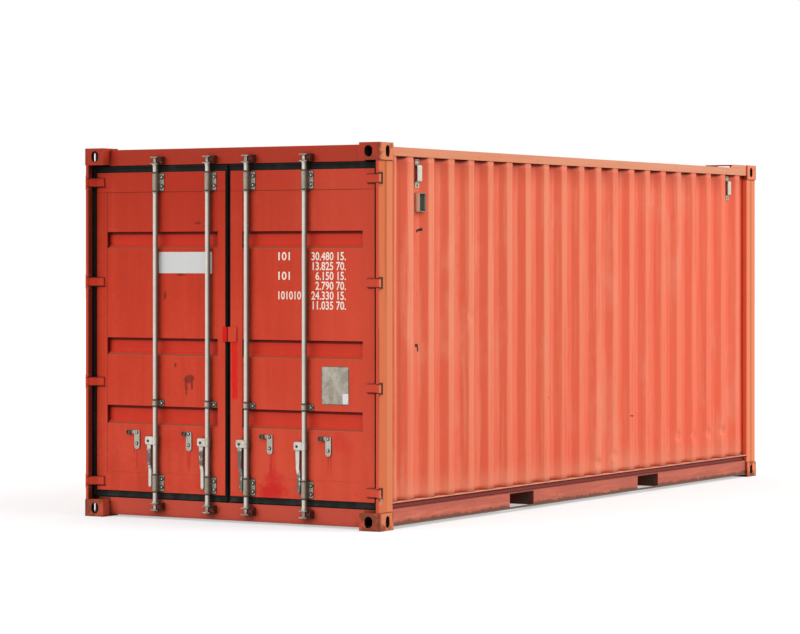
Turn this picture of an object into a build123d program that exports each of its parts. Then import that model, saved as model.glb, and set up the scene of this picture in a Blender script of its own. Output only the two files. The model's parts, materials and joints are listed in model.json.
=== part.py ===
from build123d import *
import os

# Twenty-foot dry freight container, millimetres. X runs along the length with the door
# end at -X, Y across with the left side at +Y, Z up from the ground. An inset is measured
# inward from a side plane, a recess inward from an end plane.

os.makedirs("parts", exist_ok=True)

LENGTH = 6058.0
WIDTH = 2438.0
HEIGHT = 2591.0
OVERRUN = 2.0

# Corner castings
CAST_LEN = 178.0
CAST_WID = 162.0
CAST_HT = 118.0
CAST_WALL = 28.0
CAST_BACK = 12.0
CAST_ROUND = 10.0
LOCK_RECESS = 102.5
LOCK_INSET = 89.5
LOCK_SLOT_LEN = 124.5
LOCK_SLOT_WID = 63.5
LASH_SLOT_LEN = 79.5
SIDE_SLOT_WID = 51.0
END_SLOT_WID = 63.5

# Skin and rails
SKIN = 2.0
RAIL_INSET = 10.0
RIDGE_DEPTH = 36.0
RIDGE_PITCH = 278.4
RIDGE_FLAT = 76.0
RIDGE_SLOPE = 68.0
FIRST_RIDGE = 419.0
FIRST_BEND = 232.0
TOP_RAIL_SIZE = 60.0
TOP_RAIL_DROP = 27.0
TOP_RAIL_WALL = 3.0
GUSSET_LEN = 24.0
GUSSET_THICK = 8.0
GUSSET_DROP = 8.0

# Bottom side rails
SILL_LIP_TOP = 184.0
LIP_HT = 8.0
WEB_TOP_INSET = 38.0
WEB_STEP_Z = 138.0
WEB_INSET = 20.0
RAIL_BASE_Z = 22.0
RAIL_PLATE = 6.0
RAIL_REACH = 60.0

# Door opening frame
HEADER_FACE = 80.0
HEADER_BASE_DROP = 123.0
HEADER_TOP_DROP = 12.0
BEAM_WALL = 5.0
SILL_BASE_Z = 15.0
SILL_TOP_Z = 135.0
THRESHOLD = 17.0

# Door corner posts
POST_INSET = 8.0
POST_FRONT = 1.0
POST_NOSE = 26.0
POST_NOSE_DEPTH = 38.0
POST_ROUND = 4.0
POST_PLATE = 6.0
POST_HOOK = 10.0
POST_STOP_RECESS = 128.0
POST_STOP_REACH = 62.0
GROOVE_RECESS = 102.0
GROOVE_HALF = 3.0

# Door leaves
DOOR_FACE = 73.0
LEAF_DEPTH = 48.0
LEAF_LEFT_EDGE_INSET = 55.0
LEAF_RIGHT_EDGE_INSET = 84.0
LEAF_LEFT_CENTRE = 70.0
LEAF_RIGHT_CENTRE = 26.0
LEAF_TOP_DROP = 173.0
LEAF_BASE_Z = 185.0
SEAM_TOP_DROP = 138.0
SEAM_BASE_RISE = 131.0
HINGE_STILE_LEFT = 90.0
CENTRE_STILE_LEFT = 62.0
HINGE_STILE_RIGHT = 94.0
CENTRE_STILE_RIGHT = 98.0
PANEL_THICK = 3.0
PANEL_SET = 2.0
BAND_DEPTH = 32.0
BAND_TOP_SHARES = (0.814, 0.482, 0.269)
BAND_BASE_SHARES = (0.761, 0.427, 0.210)
BAND_LEDGE = 8.0
BAND_SILL = 30.0

# Door gaskets
GASKET_SET = 3.0
GASKET_DEPTH = 24.0
GASKET_CLEAR = 5.0
GASKET_TOP = 45.0
GASKET_BASE = 45.0
GASKET_CENTRE = 16.0

# Hinges
HINGE_SHARES = (0.970, 0.657, 0.342, 0.029)
PIN_INSET = 14.0
PIN_R = 8.0
EYE_R = 13.0
EYE_BORE_CLEAR = 0.4
BLADE_HT = 62.0
BLADE_THICK = 12.0
BLADE_LEFT_END_INSET = 122.0
BLADE_RIGHT_END_INSET = 141.0
BLADE_BEND_INSET = 60.0
LUG_THICK = 14.0
LUG_GAP = 3.0
NOTCH_INSET = 36.0
NOTCH_DEPTH = 50.0
NOTCH_SIDE_DEPTH = 36.0

# Locking bars
BAR_LEFT_SHARES = (0.520, 0.117)
BAR_RIGHT_SHARES = (0.129, 0.535)
BAR_RECESS = 45.0
BAR_R = 17.0
BAR_TOP_DROP = 66.0
BAR_BASE_Z = 60.0
CAM_HT = 53.0
CAM_FLANGE = 9.0
CAM_FRONT_HALF = 20.0
CAM_LONG = 41.0
CAM_SHORT = 29.0
CAM_ROUND = 18.0
CAM_WEB = 26.0
CAM_WEB_ROUND = 6.0
COLLAR_R = 21.0
COLLAR_HT = 10.0
COLLAR_GAP = 0.5
CAM_GAP = 5.0

# Cam keepers
KEEPER_FRONT = 30.0
KEEPER_NEAR = 22.0
KEEPER_STOP = 47.0
KEEPER_FAR = 55.0

# Handle hubs and handles
HUB_Z = 547.0
HUB_HT = 56.0
HUB_REACH = 78.0
HUB_PIVOT_Y = 53.0
HUB_PIVOT_Z = 544.0
HUB_FRONT = 30.0
HUB_BACK = 60.0
HUB_CHEEK = 7.0
HUB_BORE_CLEAR = 0.3
HUB_ROUND = 13.0
PIN_RECESS = 3.0
PIN_RIM = 3.0
HANDLE_LENGTH = 322.0
HANDLE_TOP_WID = 38.0
HANDLE_TIP_WID = 28.0
HANDLE_THICK = 10.0
HANDLE_KNEE = 150.0
HANDLE_BEND = 45.0
HANDLE_OFFSET = 10.0
HANDLE_EDGE = 2.0
HANDLE_PIN_R = 7.0
HANDLE_BORE_CLEAR = 0.4

# Bar brackets
BRACKET_PLATE = 6.0
BRACKET_ROUND = 12.0
SADDLE_GAP = 0.4
SADDLE_WALL = 3.0
BRACKET_SET = 5.0
TOP_BRACKET_HT = 130.0
BASE_BRACKET_HT = 120.0
GUIDE_HT = 45.0
BRACKET_LEFT = 35.0
BRACKET_RIGHT = 57.0

# Handle retainers
RETAINER_OFFSET = 175.0
RETAINER_WID = 47.0
RETAINER_ZS = (480.0, 615.0)
RETAINER_THICK = 5.0
BOSS_OFFSETS = (62.0, 34.0, 58.0, 56.0)
BOSS_Z = 600.0
BOSS_R = 17.0
BOSS_STAND = 26.0
BOSS_CUP = 8.0
BOSS_RIM = 4.0
ARM_HT = 24.0
RETAINER_ROUND = 12.0

# Centre lug plates
LUG_RIGHT_YS = (-28.0, 44.0)
LUG_LEFT_YS = (52.0, 87.0)
LUG_PLATE_ZS = (1244.0, 1346.0)
LUG_PLATE_THICK = 7.0

# Closed end
FRONT_POST_DEPTH = 178.0
FRONT_POST_REACH = 60.0
FRONT_BEAM_SET = 12.0
FRONT_BEAM_DEPTH = 60.0
END_SKIN_SET = 12.0
END_PITCH = 250.0
END_RIDGE_DEPTH = 40.0
END_RIDGE_FLAT = 110.0
END_RIDGE_SLOPE = 18.0
END_MARGIN = 100.0

# Roof
ROOF_PITCH = 209.0
ROOF_GROOVE = 20.0
CORNER_PLATE_RISE = 26.0
ROOF_FLAT = 91.0
ROOF_SLOPE = 13.5
ROOF_MARGIN = 200.0
CORNER_PLATE_LEN = 300.0
CORNER_PLATE_WID = 260.0
CORNER_PLATE_THICK = 4.0
CORNER_PLATE_LIP = 8.0
CORNER_PLATE_BEVEL = 60.0

# Floor and understructure
FLOOR_TOP_Z = 170.0
FLOOR_THICK = 28.0
FLOOR_GAP = 5.0
MEMBER_HT = 120.0
MEMBER_FLANGE = 45.0
MEMBER_PLATE = 4.0
MEMBER_PITCH = 290.0
POCKET_CENTRE = 1025.0
POCKET_WID = 360.0
POCKET_PLATE = 5.0
POCKET_LIP = 12.0

# Side vents and side box
VENT_WID = 62.0
VENT_HT = 114.0
VENT_DROP = 110.0
VENT_STAND = 26.0
VENT_EAR_WID = 54.0
VENT_ROUND = 9.0
VENT_WALL = 3.0
VENT_EAR_REACH = 40.0
VENT_EAR_THICK = 4.0
BOX_LEFT = 23.0
BOX_RIGHT = 66.0
BOX_HT = 126.0
BOX_DROP = 306.0
BOX_DEPTH = 36.0
BOX_HEEL = 17.0
BOX_WALL = 3.0

HALF_LEN = LENGTH / 2
HALF_WID = WIDTH / 2
TOP_RAIL_TOP = HEIGHT - TOP_RAIL_DROP
TOP_RAIL_BASE = TOP_RAIL_TOP - TOP_RAIL_SIZE
CAST_TOP_Z = HEIGHT - CAST_HT
HEADER_BASE_Z = HEIGHT - HEADER_BASE_DROP
VALLEY_INSET = RAIL_INSET + RIDGE_DEPTH
RIDGE_HALF = RIDGE_FLAT / 2 + RIDGE_SLOPE
RIDGE_COUNT = 1 + int((LENGTH - FIRST_RIDGE - RIDGE_HALF - FRONT_POST_DEPTH) / RIDGE_PITCH)
ROOF_COUNT = int((LENGTH - 2 * (CAST_LEN + ROOF_MARGIN)) / ROOF_PITCH)
END_REACH = HALF_WID - POST_INSET - FRONT_POST_REACH
END_RIDGE_COUNT = int(2 * (END_REACH - END_MARGIN) / END_PITCH)

LEAF_TOP_Z = HEIGHT - LEAF_TOP_DROP
LEAF_HT = LEAF_TOP_Z - LEAF_BASE_Z
LEFT_EDGE = HALF_WID - LEAF_LEFT_EDGE_INSET
RIGHT_EDGE = HALF_WID - LEAF_RIGHT_EDGE_INSET
SEAM_TOP_Z = LEAF_TOP_Z - SEAM_TOP_DROP
SEAM_BASE_Z = LEAF_BASE_Z + SEAM_BASE_RISE
BAND_TOPS = [LEAF_BASE_Z + share * LEAF_HT for share in BAND_TOP_SHARES]
BAND_BASES = [LEAF_BASE_Z + share * LEAF_HT for share in BAND_BASE_SHARES]
HINGE_ZS = [LEAF_BASE_Z + share * LEAF_HT for share in HINGE_SHARES]
LEFT_WID = LEFT_EDGE - LEAF_LEFT_CENTRE
RIGHT_WID = RIGHT_EDGE + LEAF_RIGHT_CENTRE
BAR_YS = [LEAF_LEFT_CENTRE + share * LEFT_WID for share in BAR_LEFT_SHARES]
BAR_YS += [LEAF_RIGHT_CENTRE - share * RIGHT_WID for share in BAR_RIGHT_SHARES]
BAR_TOP_Z = HEIGHT - BAR_TOP_DROP
TOP_CAM_ZS = (BAR_TOP_Z - CAM_HT, BAR_TOP_Z)
BASE_CAM_ZS = (BAR_BASE_Z, BAR_BASE_Z + CAM_HT)
TOP_BRACKET_ZS = (LEAF_TOP_Z - BRACKET_SET - TOP_BRACKET_HT, LEAF_TOP_Z - BRACKET_SET)
BASE_BRACKET_ZS = (LEAF_BASE_Z + BRACKET_SET, LEAF_BASE_Z + BRACKET_SET + BASE_BRACKET_HT)
GUIDE_ZS = (BAND_TOPS[2], BAND_TOPS[2] + GUIDE_HT)


def at_door(recess):
    return recess - HALF_LEN


def at_front(recess):
    return HALF_LEN - recess


def at_side(side, inset):
    return side * (HALF_WID - inset)


def prism_x(points, start, end):
    face = make_face(Polyline(*points, close=True))
    return extrude(Plane.YZ.offset(start) * face, amount=end - start)


def prism_y(points, start, end):
    face = make_face(Polyline(*points, close=True))
    return extrude(Plane.XZ.offset(-end) * face, amount=end - start)


def prism_z(points, start, end):
    face = make_face(Polyline(*points, close=True))
    return extrude(Plane.XY.offset(start) * face, amount=end - start)


def block(xs, ys, zs):
    size = (abs(xs[1] - xs[0]), abs(ys[1] - ys[0]), abs(zs[1] - zs[0]))
    centre = (sum(xs) / 2, sum(ys) / 2, sum(zs) / 2)
    return Pos(*centre) * Box(*size)


def rod_z(x, y, zs, radius):
    face = Circle(radius)
    return extrude(Pos(x, y, zs[0]) * face, amount=zs[1] - zs[0])


def save(node, *solids):
    part = Compound(children=list(solids)) if len(solids) > 1 else solids[0]
    export_step(part, "parts/" + node + ".step")


def mirrored(part):
    return mirror(part, about=Plane.XZ)


# One casting in the corner at +X, +Y and the ground
def corner_casting():
    x1, y1 = HALF_LEN, HALF_WID
    x0, y0 = x1 - CAST_LEN, y1 - CAST_WID
    shell = block((x0, x1), (y0, y1), (0, CAST_HT))
    outer = shell.edges().filter_by(Axis.Z).sort_by_distance((x1, y1, CAST_HT / 2))[0]
    shell = fillet(outer, CAST_ROUND)
    cavity = block(
        (x0 + CAST_BACK, x1 - CAST_WALL),
        (y0 + CAST_BACK, y1 - CAST_WALL),
        (CAST_WALL, CAST_HT - CAST_BACK),
    )
    slot_x, slot_y = x1 - LOCK_RECESS, y1 - LOCK_INSET
    lock = extrude(
        Pos(slot_x, slot_y, -OVERRUN) * SlotOverall(LOCK_SLOT_LEN, LOCK_SLOT_WID),
        amount=CAST_WALL + 2 * OVERRUN,
    )
    side = extrude(
        Plane.XZ.offset(-y1 - OVERRUN) * Pos(slot_x, CAST_HT / 2)
        * SlotOverall(LASH_SLOT_LEN, SIDE_SLOT_WID, rotation=90),
        amount=CAST_WALL + 2 * OVERRUN,
    )
    end = extrude(
        Plane.YZ.offset(x1 + OVERRUN) * Pos(slot_y, CAST_HT / 2)
        * SlotOverall(LASH_SLOT_LEN, END_SLOT_WID, rotation=90),
        amount=-CAST_WALL - 2 * OVERRUN,
    )
    return shell - cavity - lock - side - end


def castings():
    base = corner_casting()
    top = mirror(base, about=Plane.XY.offset(HEIGHT / 2))
    front = [base, mirrored(base), top, mirrored(top)]
    rear = [mirror(one, about=Plane.YZ) for one in front]
    save("castings_door_end", *rear)
    save("castings_front_end", *front)


# The post's plate with a hollow nose at the door end and a hollow stop behind the leaf
def door_post(side):
    nose = POST_INSET + POST_NOSE
    nose_end = POST_INSET + POST_NOSE_DEPTH
    neck = POST_INSET + POST_PLATE
    back = CAST_LEN
    stop = POST_INSET + POST_STOP_REACH
    outline = [
        (POST_FRONT + POST_ROUND, POST_INSET),
        (POST_FRONT, POST_INSET + POST_ROUND),
        (POST_FRONT, nose - POST_ROUND),
        (POST_FRONT + POST_ROUND, nose),
        (nose_end, nose),
        (nose_end + POST_HOOK, neck),
        (POST_STOP_RECESS, neck),
        (POST_STOP_RECESS, stop),
        (back, stop),
        (back, POST_INSET),
        (GROOVE_RECESS + GROOVE_HALF, POST_INSET),
        (GROOVE_RECESS, POST_INSET + GROOVE_HALF),
        (GROOVE_RECESS - GROOVE_HALF, POST_INSET),
    ]
    wall = POST_PLATE
    hollow_nose = [
        (POST_FRONT + wall, POST_INSET + wall), (POST_FRONT + wall, nose - wall),
        (nose_end - wall, nose - wall), (nose_end - wall, POST_INSET + wall),
    ]
    hollow_stop = [
        (POST_STOP_RECESS + wall, POST_INSET + wall), (POST_STOP_RECESS + wall, stop - wall),
        (back - wall, stop - wall), (back - wall, POST_INSET + wall),
    ]
    zs = (CAST_HT, CAST_TOP_Z)
    place = lambda pairs: [(at_door(r), at_side(side, i)) for r, i in pairs]
    post = prism_z(place(outline), *zs)
    post -= prism_z(place(hollow_nose), *zs) + prism_z(place(hollow_stop), *zs)
    half = BLADE_HT / 2 + LUG_GAP + LUG_THICK
    for z in HINGE_ZS:
        notch = (z - half, z + half)
        post -= block(
            (at_door(-OVERRUN), at_door(NOTCH_SIDE_DEPTH)),
            (at_side(side, -OVERRUN), at_side(side, NOTCH_INSET)),
            notch,
        )
        post -= block(
            (at_door(-OVERRUN), at_door(NOTCH_DEPTH)),
            (at_side(side, POST_INSET + POST_PLATE), at_side(side, NOTCH_INSET)),
            notch,
        )
    return post


# Two lugs and a pin at each hinge, filling the notch's ends with the nose's outline
def hinge_lugs(side):
    nose = POST_INSET + POST_NOSE
    outer = POST_INSET - POST_ROUND
    outline = [
        (POST_FRONT + POST_ROUND, outer),
        (POST_FRONT, outer + POST_ROUND),
        (POST_FRONT, nose - POST_ROUND),
        (POST_FRONT + POST_ROUND, nose),
        (NOTCH_SIDE_DEPTH, nose),
        (NOTCH_SIDE_DEPTH, outer),
    ]
    points = [(at_door(r), at_side(side, i)) for r, i in outline]
    lugs = []
    for z in HINGE_ZS:
        gap = BLADE_HT / 2 + LUG_GAP
        lower = prism_z(points, z - gap - LUG_THICK, z - gap)
        upper = prism_z(points, z + gap, z + gap + LUG_THICK)
        pin_zs = (z - gap - LUG_THICK, z + gap + LUG_THICK)
        pin = rod_z(at_door(PIN_INSET), at_side(side, PIN_INSET), pin_zs, PIN_R)
        lugs.append(lower + upper + pin)
    return lugs


# A strap that wraps the pin, runs back to the leaf and lies flat on it
def hinge_blades(side):
    face = DOOR_FACE
    end = BLADE_LEFT_END_INSET if side > 0 else BLADE_RIGHT_END_INSET
    front = face - BLADE_THICK
    back = BLADE_THICK / 2
    bend = BLADE_BEND_INSET
    outline = [
        (PIN_INSET - back, PIN_INSET + back),
        (front, bend + back),
        (front, end),
        (face, end),
        (face, bend - back),
        (PIN_INSET + back, PIN_INSET - back),
    ]
    points = [(at_door(r), at_side(side, i)) for r, i in outline]
    blades = []
    pin_x, pin_y = at_door(PIN_INSET), at_side(side, PIN_INSET)
    for z in HINGE_ZS:
        zs = (z - BLADE_HT / 2, z + BLADE_HT / 2)
        blade = prism_z(points, *zs) + rod_z(pin_x, pin_y, zs, EYE_R)
        blades.append(blade - rod_z(pin_x, pin_y, zs, PIN_R + EYE_BORE_CLEAR))
    return blades


def front_post(side):
    bevel = POST_PLATE
    wall = POST_PLATE
    reach = POST_INSET + FRONT_POST_REACH
    outline = [
        (POST_INSET + bevel, POST_INSET),
        (POST_INSET, POST_INSET + bevel),
        (POST_INSET, reach),
        (POST_INSET + wall, reach),
        (POST_INSET + wall, POST_INSET + 2 * bevel),
        (POST_INSET + 2 * bevel, POST_INSET + wall),
        (FRONT_POST_DEPTH, POST_INSET + wall),
        (FRONT_POST_DEPTH, POST_INSET),
        (GROOVE_RECESS + GROOVE_HALF, POST_INSET),
        (GROOVE_RECESS, POST_INSET + GROOVE_HALF),
        (GROOVE_RECESS - GROOVE_HALF, POST_INSET),
    ]
    points = [(at_front(r), at_side(side, i)) for r, i in outline]
    inner = [(at_front(r), at_side(side, i)) for r, i in (
        (FRONT_POST_DEPTH, POST_INSET + wall),
        (FRONT_POST_DEPTH, VALLEY_INSET + SKIN),
        (FRONT_POST_DEPTH - wall, VALLEY_INSET + SKIN),
        (FRONT_POST_DEPTH - wall, POST_INSET + wall),
    )]
    zs = (CAST_HT, CAST_TOP_Z)
    return prism_z(points, *zs) + prism_z(inner, *zs)


def box_beam(xs, ys, zs, wall):
    inner_xs = (min(xs) + wall, max(xs) - wall)
    inner_zs = (min(zs) + wall, max(zs) - wall)
    return block(xs, ys, zs) - block(inner_xs, ys, inner_zs)


def end_beams():
    reach = HALF_WID - CAST_WID
    ys = (-reach, reach)
    header = box_beam(
        (at_door(HEADER_FACE), at_door(CAST_LEN)), ys,
        (HEADER_BASE_Z, HEIGHT - HEADER_TOP_DROP), BEAM_WALL)
    sill = box_beam(
        (at_door(HEADER_FACE), at_door(CAST_LEN)), ys,
        (SILL_BASE_Z, SILL_TOP_Z - THRESHOLD), BEAM_WALL)
    stop = HALF_WID - POST_INSET - POST_STOP_REACH
    sill += block(
        (at_door(HEADER_FACE), at_door(CAST_LEN)), (-stop, stop),
        (SILL_TOP_Z - THRESHOLD, SILL_TOP_Z))
    save("door_header", header)
    save("door_sill", sill)
    depth = (at_front(FRONT_BEAM_SET), at_front(FRONT_BEAM_SET + FRONT_BEAM_DEPTH))
    top = box_beam(depth, ys, (CAST_TOP_Z, TOP_RAIL_TOP), BEAM_WALL)
    base = box_beam(depth, ys, (SILL_BASE_Z, CAST_HT), BEAM_WALL)
    save("front_top_rail", top)
    save("front_bottom_rail", base)


def side_rails(side, name):
    xs = (at_door(CAST_LEN), at_front(CAST_LEN))
    inner = RAIL_INSET + TOP_RAIL_SIZE
    wall = TOP_RAIL_WALL
    top = block(xs, (at_side(side, RAIL_INSET), at_side(side, inner)), (TOP_RAIL_BASE, TOP_RAIL_TOP))
    top -= block(
        xs, (at_side(side, RAIL_INSET + wall), at_side(side, inner - wall)),
        (TOP_RAIL_BASE + wall, TOP_RAIL_TOP - wall))
    gusset = [(xs[0], TOP_RAIL_TOP), (xs[0], HEIGHT - GUSSET_DROP), (xs[0] + GUSSET_LEN, TOP_RAIL_TOP)]
    edges = sorted((at_side(side, RAIL_INSET), at_side(side, RAIL_INSET + GUSSET_THICK)))
    top += prism_y(gusset, *edges)
    save("top_rail_" + name, top)
    p = RAIL_PLATE
    lip = SILL_LIP_TOP
    chain = [
        (RAIL_INSET, lip), (RAIL_INSET, lip - LIP_HT),
        (WEB_TOP_INSET, lip - LIP_HT), (WEB_TOP_INSET, WEB_STEP_Z),
        (WEB_INSET, WEB_STEP_Z), (WEB_INSET, RAIL_BASE_Z + p),
        (RAIL_INSET, RAIL_BASE_Z + p), (RAIL_INSET, RAIL_BASE_Z),
        (RAIL_REACH, RAIL_BASE_Z), (RAIL_REACH, RAIL_BASE_Z + p),
        (WEB_INSET + p, RAIL_BASE_Z + p), (WEB_INSET + p, WEB_STEP_Z - p),
        (WEB_TOP_INSET + p, WEB_STEP_Z - p), (WEB_TOP_INSET + p, lip - p),
        (RAIL_REACH, lip - p), (RAIL_REACH, lip),
    ]
    rail = prism_x([(at_side(side, i), z) for i, z in chain], *xs)
    half = POCKET_WID / 2
    for x in (-POCKET_CENTRE, POCKET_CENTRE):
        rail -= block(
            (x - half, x + half),
            (at_side(side, WEB_INSET - OVERRUN), at_side(side, WEB_INSET + p + OVERRUN)),
            (RAIL_BASE_Z + POCKET_LIP, WEB_STEP_Z - p))
    save("bottom_rail_" + name, rail)


def side_wall(side):
    deep = VALLEY_INSET
    chain = [(at_door(CAST_LEN), RAIL_INSET), (at_door(FIRST_BEND), RAIL_INSET)]
    chain.append((at_door(FIRST_BEND + RIDGE_SLOPE), deep))
    for k in range(RIDGE_COUNT):
        x = at_door(FIRST_RIDGE + k * RIDGE_PITCH)
        near, far = RIDGE_FLAT / 2, RIDGE_HALF
        chain += [(x - far, deep), (x - near, RAIL_INSET), (x + near, RAIL_INSET), (x + far, deep)]
    chain.append((at_front(FRONT_POST_DEPTH), deep))
    outer = [(x, at_side(side, i)) for x, i in chain]
    inner = [(x, at_side(side, i + SKIN)) for x, i in reversed(chain)]
    return prism_z(outer + inner, SILL_LIP_TOP, TOP_RAIL_BASE)


def front_wall():
    face = END_SKIN_SET
    deep = face + END_RIDGE_DEPTH
    chain = [(-END_REACH, face)]
    for k in range(END_RIDGE_COUNT):
        y = (k - (END_RIDGE_COUNT - 1) / 2) * END_PITCH
        near = END_RIDGE_FLAT / 2
        far = near + END_RIDGE_SLOPE
        chain += [(y - far, face), (y - near, deep), (y + near, deep), (y + far, face)]
    chain.append((END_REACH, face))
    outer = [(at_front(r), y) for y, r in chain]
    inner = [(at_front(r + SKIN), y) for y, r in reversed(chain)]
    return prism_z(outer + inner, CAST_HT, CAST_TOP_Z)


def roof():
    base = TOP_RAIL_TOP
    start = -(ROOF_COUNT - 1) / 2 * ROOF_PITCH
    ends = (at_door(CAST_LEN), at_front(CAST_LEN))
    chain = [(ends[0], base)]
    for k in range(ROOF_COUNT):
        x = start + k * ROOF_PITCH
        near = ROOF_FLAT / 2
        far = near + ROOF_SLOPE
        deep = base - ROOF_GROOVE
        chain += [(x - far, base), (x - near, deep), (x + near, deep), (x + far, base)]
    chain.append((ends[1], base))
    under = [(x, z - SKIN) for x, z in chain]
    reach = HALF_WID - RAIL_INSET - TOP_RAIL_SIZE
    sheet = prism_y(chain + under[::-1], -reach, reach)
    between = HALF_WID - CAST_WID
    end = at_front(FRONT_BEAM_SET)
    sheet += block((ends[1] - CAST_BACK, end), (-between, between), (base, base + SKIN))
    save("roof_panel", sheet)


def floor():
    inset = WEB_TOP_INSET + RAIL_PLATE + FLOOR_GAP
    reach = HALF_WID - inset
    xs = (at_door(CAST_LEN), at_front(FRONT_BEAM_SET + FRONT_BEAM_DEPTH))
    boards = block(xs, (-reach, reach), (FLOOR_TOP_Z - FLOOR_THICK, FLOOR_TOP_Z))
    save("floor_boards", boards)


def understructure():
    top = FLOOR_TOP_Z - FLOOR_THICK
    base = top - MEMBER_HT
    p = MEMBER_PLATE
    reach = HALF_WID - RAIL_REACH
    half = POCKET_WID / 2 + MEMBER_FLANGE
    members = []
    count = int((LENGTH / 2 - CAST_LEN) / MEMBER_PITCH)
    for k in range(-count, count + 1):
        x = k * MEMBER_PITCH
        if min(abs(x - POCKET_CENTRE), abs(x + POCKET_CENTRE)) < half:
            continue
        chain = [
            (x, base), (x + MEMBER_FLANGE, base), (x + MEMBER_FLANGE, base + p), (x + p, base + p),
            (x + p, top - p), (x + MEMBER_FLANGE, top - p), (x + MEMBER_FLANGE, top), (x, top),
        ]
        members.append(prism_y(chain, -reach, reach))
    save("cross_members", *members)
    tunnels = []
    reach = HALF_WID - WEB_INSET - RAIL_PLATE
    zs = (RAIL_BASE_Z + RAIL_PLATE, WEB_STEP_Z - RAIL_PLATE)
    for x in (-POCKET_CENTRE, POCKET_CENTRE):
        outer = POCKET_WID / 2 + POCKET_PLATE
        body = block((x - outer, x + outer), (-reach, reach), zs)
        gap = POCKET_WID / 2
        hollow = block((x - gap, x + gap), (-reach, reach), (zs[0], zs[1] - POCKET_PLATE))
        tunnels.append(body - hollow)
    save("fork_pockets", *tunnels)


# Leaf frame: four hollow members around the panel opening
def leaf_frame(ys, opening):
    xs = (at_door(DOOR_FACE), at_door(DOOR_FACE + LEAF_DEPTH))
    frame = block(xs, ys, (LEAF_BASE_Z, LEAF_TOP_Z))
    return frame - block(xs, opening, (SEAM_BASE_Z, SEAM_TOP_Z))


def leaf_panel(opening):
    front = DOOR_FACE + PANEL_SET
    chain = [(front, SEAM_TOP_Z)]
    for top, base in zip(BAND_TOPS, BAND_BASES):
        deep = front + BAND_DEPTH
        chain += [(front, top), (deep, top - BAND_LEDGE), (deep, base + BAND_SILL), (front, base)]
    chain.append((front, SEAM_BASE_Z))
    outer = [(at_door(r), z) for r, z in chain]
    inner = [(at_door(r + PANEL_THICK), z) for r, z in reversed(chain)]
    return prism_y(outer + inner, min(opening), max(opening))


def leaf_gasket(ys, side):
    xs = (at_door(DOOR_FACE + GASKET_SET), at_door(DOOR_FACE + GASKET_SET + GASKET_DEPTH))
    low, high = min(ys), max(ys)
    reach = HALF_WID - POST_INSET - POST_PLATE - GASKET_CLEAR
    if side > 0:
        outer = (low - GASKET_CENTRE, reach)
    else:
        outer = (-reach, high + GASKET_CENTRE)
    ring = block(xs, outer, (LEAF_BASE_Z - GASKET_BASE, LEAF_TOP_Z + GASKET_TOP))
    return ring - block(xs, ys, (LEAF_BASE_Z, LEAF_TOP_Z))


# A bolted plate with a saddle that wraps the front of a bar
def bracket(y, zs, set_back=0):
    seat = DOOR_FACE - BRACKET_PLATE
    wide, tall = BRACKET_LEFT + BRACKET_RIGHT, zs[1] - zs[0]
    centre = Pos(y + (BRACKET_LEFT - BRACKET_RIGHT) / 2, (zs[0] + zs[1]) / 2)
    face = Plane.YZ.offset(at_door(seat)) * centre * RectangleRounded(wide, tall, BRACKET_ROUND)
    plate = extrude(face, amount=BRACKET_PLATE + set_back)
    inner = BAR_R + SADDLE_GAP
    outer = inner + SADDLE_WALL
    x = at_door(BAR_RECESS)
    shell = rod_z(x, y, zs, outer) + block((x, at_door(seat)), (y - outer, y + outer), zs)
    bore = rod_z(x, y, zs, inner) + block((x, at_door(seat)), (y - inner, y + inner), zs)
    return plate + (shell - bore)


def bar_brackets(bars):
    parts = []
    for y in bars:
        parts.append(bracket(y, TOP_BRACKET_ZS))
        parts.append(bracket(y, BASE_BRACKET_ZS))
        parts.append(bracket(y, GUIDE_ZS, PANEL_SET))
    return parts


# Round-footed plates whose arm ends in the cup that a raised handle rests under
def retainers(bars, side):
    parts = []
    thick = RETAINER_THICK + PANEL_SET
    seat = Plane.YZ.offset(at_door(DOOR_FACE + PANEL_SET))
    low, high = RETAINER_ZS
    half = RETAINER_WID / 2
    for y in bars:
        mid = y + side * RETAINER_OFFSET
        boss_y = mid + BOSS_OFFSETS[BAR_YS.index(y)]
        plate = Pos(mid, (low + half + high) / 2) * RectangleRounded(
            RETAINER_WID, high - low - half, RETAINER_ROUND)
        plate += Pos(mid, low + half) * Circle(half)
        plate += Pos((mid + boss_y) / 2, BOSS_Z) * Rectangle(boss_y - mid, ARM_HT)
        boss = seat * Pos(boss_y, BOSS_Z)
        cup = extrude(boss * Circle(BOSS_R), amount=-BOSS_STAND)
        bore = Plane.YZ.offset(at_door(DOOR_FACE + PANEL_SET - BOSS_STAND)) * Pos(boss_y, BOSS_Z)
        cup -= extrude(bore * Circle(BOSS_R - BOSS_RIM), amount=BOSS_CUP)
        parts.append(extrude(seat * plate, amount=-thick) + cup)
    return parts


def door(side, name, bars):
    if side > 0:
        ys = (LEAF_LEFT_CENTRE, LEFT_EDGE)
        opening = (LEAF_LEFT_CENTRE + CENTRE_STILE_LEFT, LEFT_EDGE - HINGE_STILE_LEFT)
    else:
        ys = (-RIGHT_EDGE, LEAF_RIGHT_CENTRE)
        opening = (HINGE_STILE_RIGHT - RIGHT_EDGE, LEAF_RIGHT_CENTRE - CENTRE_STILE_RIGHT)
    prefix = "door_" + name
    save(prefix + "_frame", leaf_frame(ys, opening))
    save(prefix + "_panel", leaf_panel(opening))
    save(prefix + "_gasket", leaf_gasket(ys, side))
    save(prefix + "_hinges", *hinge_blades(side))
    save(prefix + "_bar_brackets", *bar_brackets(bars))
    save(prefix + "_retainers", *retainers(bars, side))


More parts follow.
